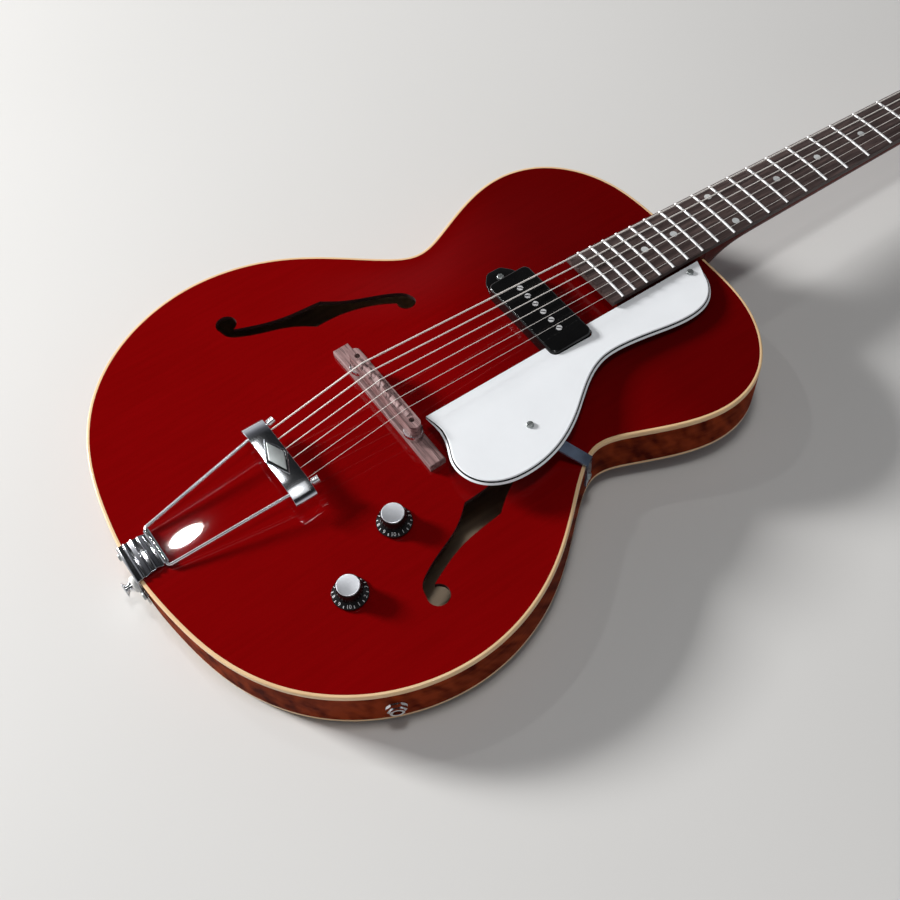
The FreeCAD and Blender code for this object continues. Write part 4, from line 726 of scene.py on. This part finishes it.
guard_edge = [(34.1, -273.4), (48.9, -272.2), (63.5, -275.6), (75.6, -280.6), (89.9, -280.6),
              (102.2, -274.2), (110.4, -263.0), (114.6, -242.0), (110.1, -212.3), (93.1, -179.8),
              (76.0, -156.5), (65.1, -132.6), (64.3, -112.5), (67.9, -85.6), (71.8, -55.0),
              (66.6, -29.0), (52.9, -15.4), (29.9, -8.6)]
guard_level = 3.7
notch_x = 42.8
notch_high = -124.7
notch_low = -164.3
notch_corner = 5.5
guard_layers = np.array([(0.0, 0.0), (1.15, 1.3), (2.0, 2.2), (2.5, 2.7), (2.75, 2.8)])


def make_guard():
    """Layered guard: the same closed line at five levels of (distance drawn in, height).

    It is drawn in only along the curved edge, which is bevelled; the bevel fades out at both ends.
    """
    curve = spline(guard_edge, samples=160)
    neck_corner = curve[-1]
    tail_corner = curve[0]

    def on_straight(y):
        share = (y - neck_corner[1]) / (tail_corner[1] - neck_corner[1])
        return neck_corner + share * (tail_corner - neck_corner)

    corners = [neck_corner, on_straight(notch_high), (notch_x, notch_high), (notch_x, notch_low),
               on_straight(notch_low), tail_corner]
    sharp = 0.01
    straight = divided(rounded(corners, [sharp, notch_corner, notch_corner, sharp]), step=6.0)
    loop = np.concatenate([curve, straight[1:-1]])[::-1]
    place = np.linspace(0, 1, len(curve))
    fade_share = 0.04
    bevel = np.clip(np.minimum(place, 1 - place) / fade_share, 0, 1)
    bevel = np.concatenate([bevel, np.zeros(len(straight) - 2)])[::-1]
    flat = loop + inward(loop) * (guard_layers[:, :1] * bevel)[..., None]
    high = np.broadcast_to(guard_layers[:, 1:, None], (*flat.shape[:2], 1))
    parts = [grid(np.concatenate([flat, high], axis=-1), marks=[0, 1, 0, 0])]
    for row in (0, -1):
        sheet, triangles = fill([flat[row]], spacing=12.0)
        level = np.full(len(sheet), guard_layers[row, 1])
        parts.append((np.column_stack([sheet, level]), triangles, np.zeros(len(triangles))))
    lift = (0, 0, guard_level)
    parts = [(tilted(points, neck_tilt, lift), faces, marks) for points, faces, marks in parts]
    piece = new_piece("guard", parts, [white_gloss, black_gloss], crease=12.0)
    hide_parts("pickguard")


# Knobs

knob_sites = {"volume": (82.6, -333.8), "tone": (109.3, -387.2)}
knob_radius = 12.8
knob_rim = 0.9
knob_skirt = 3.6
knob_hub_low = 9.2
knob_hub_high = 8.6
knob_height = 12.6
knob_float = 0.6
knob_bore = 3.0
knob_hollow = 2.0
cap_radius = 8.1
cap_thickness = 0.9
digit_size = 3.7
digit_count = 10
digit_base = 0.75
digit_lift = 0.06


def on_skirt(along, up, floor, centre):
    """Skirt's cone unrolled: along goes round it as an angle, up goes from its rim towards the hub."""
    slope = math.atan2(knob_skirt - knob_rim, knob_radius - knob_hub_low)
    radius = knob_radius - up * math.cos(slope)
    high = floor + knob_rim + up * math.sin(slope)
    x = centre[0] + radius * np.cos(along)
    y = centre[1] + radius * np.sin(along)
    return np.stack([x, y, high], axis=-1)


def digit_sheet(text):
    """Flat points and triangles of one number, in millimetres about its middle."""
    curve = bpy.data.curves.new("digit", "FONT")
    curve.body = text
    curve.size = digit_size
    curve.resolution_u = 3
    curve.align_x = "CENTER"
    holder = bpy.data.objects.new("digit", curve)
    mesh = bpy.data.meshes.new_from_object(holder)
    flat = np.empty(len(mesh.vertices) * 3)
    mesh.vertices.foreach_get("co", flat)
    mesh.calc_loop_triangles()
    triangles = np.empty(len(mesh.loop_triangles) * 3, np.int32)
    mesh.loop_triangles.foreach_get("vertices", triangles)
    bpy.data.objects.remove(holder)
    bpy.data.curves.remove(curve)
    bpy.data.meshes.remove(mesh)
    return flat.reshape(-1, 3)[:, :2], triangles.reshape(-1, 3)


def skirt_print(floor, centre):
    """Numbers round the skirt with a stroke between each two, as thin raised sheets."""
    parts = []
    middle_radius = (knob_radius + knob_hub_low) / 2
    stroke = np.array([(-0.3, 0.5), (0.3, 0.5), (0.3, 2.2), (-0.3, 2.2)])
    halves = np.array([(0, 1, 2), (0, 2, 3)])
    for k in range(digit_count):
        flat, triangles = digit_sheet(str(k + 1))
        step = 2 * math.pi / digit_count
        number = (flat, triangles, k, digit_base)
        mark = (stroke, halves, k + 0.5, 0.0)
        for sheet, faces, turn, base in (number, mark):
            along = turn * step + sheet[:, 0] / middle_radius
            up = base + sheet[:, 1]
            outer = on_skirt(along, up, floor + digit_lift, centre)
            inner = on_skirt(along, up, floor - digit_lift, centre)
            parts += slab(sheet, faces, outer, inner, (2, 2, 2))
    return parts


def make_knobs():
    """Skirted knobs, each turned about its shaft: a rim, a sloping skirt, a hub and a metal cap.

    A profile is (radius, height) from the knob's lower edge, with a short slant for each softened edge.
    """
    high = knob_height - cap_thickness
    profile = [(knob_bore, knob_hollow), (knob_hub_low - 1.0, knob_hollow), (knob_hub_low - 0.6, 0.0),
               (knob_radius - 0.25, 0.0), (knob_radius - 0.05, 0.08), (knob_radius, 0.25),
               (knob_radius, knob_rim - 0.15), (knob_radius - 0.1, knob_rim),
               (knob_hub_low + 0.25, knob_skirt - 0.15), (knob_hub_low, knob_skirt + 0.1),
               (knob_hub_high + 0.05, high - 0.35), (knob_hub_high - 0.1, high - 0.1),
               (knob_hub_high - 0.4, high), (knob_bore, high)]
    cap = [(0, high - 0.05), (cap_radius, high - 0.05), (cap_radius, knob_height - 0.3),
           (cap_radius - 0.12, knob_height - 0.08), (cap_radius - 0.4, knob_height),
           (cap_radius - 1.0, knob_height - 0.1), (0, knob_height - 0.1)]
    for name, centre in knob_sites.items():
        rim_x, rim_y = (np.array(centre) + knob_radius * unit_circle(8)).T
        floor = top_height(rim_x, rim_y).max() + knob_float
        base = (*centre, floor)
        hub = grid(lathe(profile, base, (0, 0, 1)), wrap_rows=True)
        disc = grid(lathe(cap, base, (0, 0, 1)), marks=1)
        parts = [hub, disc] + skirt_print(floor, centre)
        finishes = [knob_black, satin_silver, digit_paint]
        piece = new_piece(f"{name}_dial", parts, finishes, body=name, crease=24.0)
        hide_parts(f"{name}_knob", f"{name}_cap")


# Tailpiece

hinge_half = 15.7
hinge_plate = 1.3
hinge_low = 0.6
knuckle_y = -474.9
knuckle_z = 3.0
knuckle_radius = 2.4
knuckle_bore = 1.3
leaf_gap = 0.2
leaf_tip_z = -39.4
leaf_bend_z = -5.0
hinge_steps = [(-475.6, 0.0), (-478.7, 0.0), (-482.1, 1.7), (-483.1, 0.55), (-486.0, 0.5),
               (-486.7, 1.55), (-489.6, 0.05), (-491.7, 0.0), (-492.4, 1.1), (-493.6, 0.3)]
hinge_bends = [1.2, 0.25, 0.8, 0.8, 0.2, 0.8, 0.8, 0.2, 0.8, 1.5]
plate_half_widths = np.array([(-494, 16.1), (-487, 15.6), (-482, 15.0), (-478, 15.2),
                              (-475, hinge_half)])
leaf_half_widths = np.array([(leaf_tip_z, 11.0), (-34, 15.5), (-18, 23.0), (-12, 23.0), (-6, 16.1)])
bar_y = -375.3
bar_half = 39.0
bar_width = 17.0
bar_top = 23.6
bar_plate = 1.8
bar_roll = np.array([19.0, 6.7])
bar_wall_set_in = 0.3
lozenge_half = np.array([18.0, 8.5])
lozenge_steps = np.array([(0.0, -0.3), (0.0, 0.45), (0.25, 0.7), (1.3, 0.7), (1.6, 0.4), (2.0, 0.35),
                          (2.3, 1.5), (2.7, 1.75), (3.0, 1.8)])
lozenge_draw = np.array([1.6, 1.0])
strap_z = -24.5


def make_hinge():
    """Hinge plate: a strip that runs from its barrel over three ridges, then bends down over the tail.

    Its half width goes by Y on the top and by Z on the tail. The barrel is turned about X.
    """
    middle = hinge_low + hinge_plate / 2
    back_y = tail_y - leaf_gap - hinge_plate / 2
    corner = np.array([(back_y, middle), (back_y, leaf_tip_z)])
    steps = np.array(hinge_steps) + np.array([0, middle])
    line = divided(rounded(np.concatenate([steps, corner]), hinge_bends, steps=9), step=1.0)
    path = np.column_stack([np.zeros(len(line)), line])
    on_top = np.interp(line[:, 0], *plate_half_widths.T)
    on_tail = np.interp(line[:, 1], *leaf_half_widths.T)
    half_width = np.where(line[:, 1] < leaf_bend_z, on_tail, on_top)
    plate = grid(ribbon(path, half_width, hinge_plate, corner=0.25, across=(1, 0, 0)))
    soft = 0.3
    length = 2 * hinge_half
    barrel = [(knuckle_bore, 0), (knuckle_radius - soft, 0), (knuckle_radius, soft),
              (knuckle_radius, length - soft), (knuckle_radius - soft, length), (knuckle_bore, length)]
    tube = grid(lathe(barrel, (-hinge_half, knuckle_y, knuckle_z), (1, 0, 0), around=48), wrap_rows=True)
    piece = new_piece("hinge", [plate, tube], [ridge_chrome], crease=40.0)
    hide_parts("tailpiece_hinge")


def make_bar():
    """String bar: a strip with a quarter of an ellipse down at each end, its front wall and the lozenge.

    The lozenge is a rhombus at steps of (distance drawn in, height); its long corners draw in faster.
    """
    middle_top = bar_top - bar_plate / 2
    reach = bar_half - bar_plate / 2
    roll_steps = 18
    turn = np.linspace(0, math.pi / 2, roll_steps)
    start = np.array([reach, middle_top]) - bar_roll
    roll = start + bar_roll * np.stack([np.sin(turn), np.cos(turn)], axis=1)
    line = divided(np.concatenate([roll[::-1] * mirror_x, roll]), step=4.0)
    path = np.stack([line[:, 0], np.full(len(line), bar_y), line[:, 1]], axis=1)
    plate = grid(ribbon(path[::-1], bar_width / 2, bar_plate, corner=0.3, across=(0, 1, 0)))
    sheet, triangles = fill([line], spacing=8.0)
    front = bar_y + bar_width / 2
    near = np.stack([sheet[:, 0], np.full(len(sheet), front), sheet[:, 1]], axis=1)
    outer = near - np.array([0, bar_wall_set_in, 0])
    inner = near - np.array([0, bar_plate, 0])
    wall = slab(sheet, triangles, outer, inner)
    size = lozenge_half - lozenge_steps[:, :1] * lozenge_draw
    flat = size[:, None] * unit_circle(4) + np.array([0, bar_y])
    high = np.broadcast_to((bar_top + lozenge_steps[:, 1])[:, None, None], (*flat.shape[:2], 1))
    rings = pointed(np.concatenate([flat, high], axis=-1))
    lozenge = grid(rings, marks=[0, 0, 0, 0, 2, 2, 2, 1, 1, 1])
    finishes = [bar_chrome, dull_silver, black_gloss]
    piece = new_piece("string_bar", [plate, lozenge] + wall, finishes, crease=20.0)
    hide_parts("tailpiece_bar")


def make_strap_button():
    """Plump washer and flared button: profiles of (radius, height off the hinge) turned about Y."""
    seat = (0, tail_y - leaf_gap - hinge_plate, strap_z)
    washer = [(1.8, 0), (5.7, 0), (6.1, 0.7), (6.2, 1.7), (6.0, 2.7), (5.4, 3.2), (4.4, 3.4), (1.8, 3.4)]
    button = [(0, 3.3), (4.8, 3.3), (4.9, 3.6), (4.4, 4.2), (3.3, 5.2), (3.1, 6.0), (3.5, 7.1),
              (4.9, 8.2), (6.0, 8.7), (6.2, 9.0), (5.9, 9.4), (4.7, 9.6), (1.8, 9.7), (0, 9.7)]
    outwards = (0, -1, 0)
    plump = grid(lathe(washer, seat, outwards, around=64), wrap_rows=True)
    ring = new_piece("felt_washer", [plump], [felt_white])
    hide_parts("strap_washer")
    turned = grid(lathe(button, seat, outwards, around=64))
    knob = new_piece("tail_button", [turned], [bright_chrome], crease=50.0)
    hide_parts("strap_button")


# Pickup

pickup_centre = np.array([0.0, -144.5])
pickup_half = np.array([42.0, 19.0])
pickup_top = 18.5
pickup_corner = 5.5
pickup_soft = 1.7
pickup_float = 0.1
ear_thickness = 2.6
ear_soft = 0.9
ear_line = [(41.0, 17.0), (52.0, 13.5), (60.5, 6.5), (60.5, -6.5), (52.0, -13.5), (41.0, -17.0)]
ear_corners = [14.0, 6.0, 6.0, 14.0]


def make_pickup():
    """Pickup cover: a block with rounded corners and a level top, and an ear at each end.

    The lower side of all three, and the upper side of an ear, follow the top plate's arch.
    """

    def underside(x, y):
        return top_height(x, y) + pickup_float

    def cover_top(x, y):
        return np.full(x.shape, pickup_top)

    def ear_top(x, y):
        return top_height(x, y) + ear_thickness

    line = np.stack(round_rectangle(*pickup_half, pickup_corner), axis=1)
    loop = pickup_centre + line[::-1]
    parts = soft_block(loop, underside, cover_top, pickup_soft, spacing=9.0)
    ear = divided(rounded(ear_line, ear_corners, steps=9), step=3.0)
    for side in (1, -1):
        line = pickup_centre + ear * np.array([side, 1])
        parts += soft_block(line[::side], underside, ear_top, ear_soft, spacing=5.0)
    piece = new_piece("pickup_shell", parts, [black_gloss], crease=24.0)
    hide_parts("pickup_cover")


# Strings, from bass to treble

string_gauges = np.array([1.32, 1.07, 0.81, 0.61, 0.41, 0.30])
compensation = np.array([-1.6, -0.4, 0.8, -1.2, 0.2, 1.4])
string_share = np.linspace(-0.5, 0.5, len(string_gauges))
scale_length = 647.7
nut_y = scale_length * (1 - 2 ** (-14 / 12))
nut_thickness = 5.0
nut_spread = 35.5
nut_rise = 0.5
bar_spread = 50.0
anchor_y = bar_y + 2
anchor_z = 18.2
saddle_y = -285.0
saddle_low = 19.8
saddle_bar_top = 31.6
saddle_slope_end = 4.04
saddle_half = (43.0, 4.7)
saddle_corner = 4.4
saddle_spread = 52.2
saddle_rise = 3.4
seat_depth = 0.12
ridge_flat = 0.5
stud_x = 35.5
stud_hole = 2.1
board_radius = 305.0
head_tilt = math.radians(14.0)
head_drop = 5.2
post_radius = 3.0
turn_clearance = 0.3
turn_level = 7.5
turn_gap = 0.55
post_turns = 2.25
post_rows = [(-1, 40.0), (-1, 79.0), (-1, 118.0), (1, 118.0), (1, 79.0), (1, 40.0)]
post_inset = 13.0
coil_points = 70
string_bend = 6.0
bend_steps = 9
head_half_widths = np.array([(54.0, 36.5), (157.0, 32.0)])
ball_end = [(0, -1.3), (1.6, -1.3), (1.9, -1.0), (1.9, 1.6), (1.6, 1.9), (0, 1.9)]


def from_neck(points):
    """Neck frame to body frame: X across, Y from the neck joint to the nut, Z off the frets."""
    return tilted(points, neck_tilt, (0, 0, neck_height))


def from_head(points):
    """Head frame, at the nut's far edge and tilted back, to the body frame."""
    return from_neck(tilted(points, head_tilt, (0, nut_y + nut_thickness, -head_drop)))


def into_head(point):
    """Neck frame to head frame."""
    moved = np.asarray(point, float) - np.array([0, nut_y + nut_thickness, -head_drop])
    return tilted(moved, -head_tilt, (0, 0, 0))


def string_seats():
    """Where each string crosses the saddle: its middle line at the crest, on the board's curve."""
    x = saddle_spread * string_share
    crest = from_neck((0, nut_y - scale_length, saddle_rise))[2] - x ** 2 / (2 * board_radius)
    return np.stack([x, saddle_y + compensation, crest + string_gauges / 2], axis=1)


def saddle_height(x, y):
    """Saddle's upper side: a flat bar, and over it a ridge that steps to and fro below each string.

    The ridge falls straight to the bar's front and back, down to overrun below the flat, which then
    takes over. Between two strings it moves over in a short slant: it keeps to a string for step_share
    of the pitch on each side.
    """
    step_share = 0.46
    overrun = 1.0
    seats = string_seats()
    pitch = seats[1, 0] - seats[0, 0]
    edges = np.repeat(seats[:, 0], 2) + np.tile([-step_share, step_share], len(seats)) * pitch
    ridge_y = np.interp(x, edges, np.repeat(seats[:, 1], 2))
    ridge_z = np.interp(x, edges, np.repeat(seats[:, 2] - string_gauges / 2 - seat_depth, 2))
    off_middle = ridge_y - saddle_y
    reach = saddle_slope_end + np.where(y > ridge_y, -off_middle, off_middle)
    fall = np.maximum((np.abs(y - ridge_y) - ridge_flat) / (reach - ridge_flat), 0)
    slope = ridge_z - fall * (ridge_z - saddle_bar_top + overrun)
    on_ridge = (x > seats[0, 0] - pitch / 2) & (x < seats[-1, 0] + pitch / 2)
    return np.where(on_ridge, np.maximum(slope, saddle_bar_top), saddle_bar_top)


def make_saddle():
    """Saddle on its two screws: a bar with round ends and a hole over each stud, lifted to its ridge."""
    fine = 0.6
    line = np.stack(round_rectangle(*saddle_half, saddle_corner, steps=12), axis=1)
    loop = np.array([0, saddle_y]) + line[::-1]
    hole = stud_hole * unit_circle(32)
    holes = [np.array([side * stud_x, saddle_y]) + hole for side in (-1, 1)]
    flat, triangles = fill([divided(loop, fine)] + holes, fine)
    upper = np.column_stack([flat, saddle_height(flat[:, 0], flat[:, 1])])
    lower = np.column_stack([flat, np.full(len(flat), saddle_low)])
    parts = slab(flat, triangles, upper, lower)
    piece = new_piece("saddle_bar", parts, [bridge_wood], body="saddle", crease=14.0)
    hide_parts("bridge_saddle")


def make_strings():
    """Each string is a round wire, from the bar to the saddle, and on over the nut to its post.

    It leaves the nut on a tangent to its turns. Round the post it is a screw line: a circle that sinks
    by one pitch each turn. A ball end is turned about the string.
    """
    tail_parts = []
    neck_parts = []
    each = zip(string_gauges, string_share, string_seats(), post_rows)
    for gauge, share, seat, (side, post_y) in each:
        radius = gauge / 2
        anchor = np.array([bar_spread * share, anchor_y, anchor_z])
        nut_x = nut_spread * share
        nut_z = nut_rise - nut_x ** 2 / (2 * board_radius) + radius
        over_nut = np.array([nut_x, nut_y + nut_thickness / 2, nut_z])
        post_x = side * (np.interp(post_y, *head_half_widths.T) - post_inset)
        wrap = post_radius + turn_clearance + radius
        start = into_head(over_nut)
        across = math.hypot(post_x - start[0], post_y - start[1])
        heading = math.atan2(post_y - start[1], post_x - start[0]) + side * math.asin(wrap / across)
        run = math.sqrt(across ** 2 - wrap ** 2)
        touch = start[:2] + run * np.array([math.cos(heading), math.sin(heading)])
        first = math.atan2(touch[1] - post_y, touch[0] - post_x)
        turns = np.linspace(0, post_turns, coil_points)
        angle = first - side * 2 * math.pi * turns
        coil_x = post_x + wrap * np.cos(angle)
        coil_y = post_y + wrap * np.sin(angle)
        coil_z = turn_level - (gauge + turn_gap) * turns
        coil = from_head(np.stack([coil_x, coil_y, coil_z], axis=1))
        corners = [anchor, seat, from_neck(over_nut), coil[0]]
        whole = rounded(corners, [string_bend, string_bend], bend_steps)
        on_saddle = 1 + bend_steps // 2
        tail_run = whole[:on_saddle + 1]
        neck_run = np.concatenate([divided(whole[on_saddle:-1], step=40.0), coil])
        tail_parts.append(grid(wire(divided(tail_run, step=12.0), radius)))
        neck_parts.append(grid(wire(neck_run, radius)))
        tail_parts.append(grid(lathe(ball_end, anchor, anchor - seat, around=24)))
    tail = ("strings_tail", tail_parts, (0, bar_y, 20))
    neck = ("strings_neck", neck_parts, (0, 350, 0))
    for name, parts, held in (tail, neck):
        piece = new_piece(name, parts, [string_steel], body=None)
        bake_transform(piece)
        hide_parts("strings")


make_top()
make_back()
make_rim()
make_guard()
make_knobs()
make_hinge()
make_bar()
make_strap_button()
make_pickup()
make_saddle()
make_strings()


# Pieces that keep the shape of their solids

cad_materials = {
    "rosewood": board_wood, "bare_wood": pale_wood, "binding": cream, "pearl": pearl, "bone": bone,
    "black_plastic": black_gloss, "guard_plastic": white_gloss, "chrome": bright_chrome,
    "nickel": satin_nickel, "string_steel": string_steel, "rod_steel": satin_nickel, "felt": felt_white,
    "winding": satin_nickel, "magnet": satin_nickel, "lead": black_gloss, "cherry_top": cherry_top,
    "cherry_sides": cherry_sides, "cherry_neck": cherry_neck}
own_materials = {
    "bridge_base": bridge_wood, "pickup_poles": worn_steel, "frets": worn_steel, "screws": dull_silver,
    "tailpiece_rods": rod_chrome, "pickguard_bracket": painted_reflection_plating}


def dress_cad_nodes():
    """Gives each CAD node its finish, and rounds its shading without touching the mesh itself."""
    slots = {entry["node"]: entry["material_slot"] for entry in frame["record"]["subparts"]}
    for name, node in frame["nodes"].items():
        node.data.materials.clear()
        node.data.materials.append(own_materials.get(name, cad_materials[slots[name]]))
        node.data.polygons.foreach_set("use_smooth", np.ones(len(node.data.polygons), bool))
        weld = node.modifiers.new("weld", "WELD")
        weld.merge_threshold = cad_weld_distance
        split = node.modifiers.new("crease", "EDGE_SPLIT")
        split.split_angle = cad_crease


dress_cad_nodes()


# Stage: floor, light and camera

def make_stage():
    """Plain pale floor: one square at the height where the guitar lies."""
    mesh = bpy.data.meshes.new("floor")
    far = 12.0
    corners = [(-far, -far, 0), (far, -far, 0), (far, far, 0), (-far, far, 0)]
    mesh.from_pydata(corners, [], [(0, 1, 2, 3)])
    floor = bpy.data.objects.new("floor", mesh)
    bpy.context.scene.collection.objects.link(floor)
    pale = Finish("pale_floor", Roughness=0.6)
    drift = pale.noise(pale.place, scale=1.2, detail=2.0)
    pale.set(Base_Color=pale.ramp(drift, [(0.3, (0.66, 0.65, 0.63)), (0.7, (0.70, 0.69, 0.67))]))
    mesh.materials.append(pale.material)


def make_world():
    """Soft surround: pale towards the horizon, dark overhead."""
    world = bpy.data.worlds.new("studio")
    bpy.context.scene.world = world
    world.use_nodes = True
    tree = world.node_tree
    coordinates = Socket(tree, tree.nodes.new("ShaderNodeTexCoord").outputs["Generated"])
    split = coordinates.node("ShaderNodeSeparateXYZ", Vector=coordinates)
    height = Socket(tree, split.outputs["Z"])
    stops = [(0.0, (0.50, 0.51, 0.53)), (0.28, (0.46, 0.47, 0.50)), (0.55, (0.08, 0.08, 0.09)),
             (0.70, (0.008, 0.008, 0.009))]
    shade = coordinates.node("ShaderNodeValToRGB", {"stops": stops}, Fac=height)
    tree.links.new(shade.outputs["Color"], tree.nodes["Background"].inputs["Color"])
    bpy.context.scene.view_settings.view_transform = "Standard"


def area_light(name, place, aim, size, power, shape="RECTANGLE"):
    """Flat light at a place of the body frame, turned to an aim, with its size in metres."""
    light = bpy.data.lights.new(name, "AREA")
    light.shape = shape
    light.size, light.size_y = size
    light.energy = power
    lamp = bpy.data.objects.new(name, light)
    bpy.context.scene.collection.objects.link(lamp)
    stand = Vector(to_row(place))
    away = stand - Vector(to_row(aim))
    lamp.matrix_world = Matrix.LocRotScale(stand, away.to_track_quat("Z", "Y"), None)


camera_place = (447.77, -498.31, 696.41)
camera_turn_degrees = (33.44985, -1.12886, 53.29223)
focal_pixels = 1147.6
image_pixels = 900
principal = np.array([511.9, 464.8])


def make_camera():
    """Camera at a place of the body frame, with turns about X, Y and Z of the row frame."""
    camera = bpy.data.cameras.new("camera")
    camera.sensor_fit = "HORIZONTAL"
    camera.sensor_width = 36.0
    camera.lens = focal_pixels / image_pixels * camera.sensor_width
    camera.shift_x = (image_pixels / 2 - principal[0]) / image_pixels
    camera.shift_y = (principal[1] - image_pixels / 2) / image_pixels
    camera.clip_start = 0.01
    camera.clip_end = 50
    eye = bpy.data.objects.new("camera", camera)
    bpy.context.scene.collection.objects.link(eye)
    turn = Euler([math.radians(angle) for angle in camera_turn_degrees])
    eye.matrix_world = Matrix.LocRotScale(Vector(to_row(camera_place)), turn, None)
    bpy.context.scene.camera = eye


make_stage()
make_world()
area_light("window", place=(-2700, -2122, 1476), aim=(0, -250, 0), size=(0.7, 0.7), power=205)
area_light("ceiling", place=(100, -250, 2400), aim=(100, -250, 0), size=(0.3, 0.3), power=11)
area_light("panel", place=(250, -200, 2450), aim=(250, -200, 0), size=(1.4, 1.3), power=4.5)
area_light("fill", place=(1500, -1300, 450), aim=(0, -250, 0), size=(1.0, 0.6), power=1.5)
area_light("lamp", place=(-641, -442, 1013), aim=(4, -454, 0), size=(0.031, 0.027),
           power=0.74, shape="ELLIPSE")
make_camera()
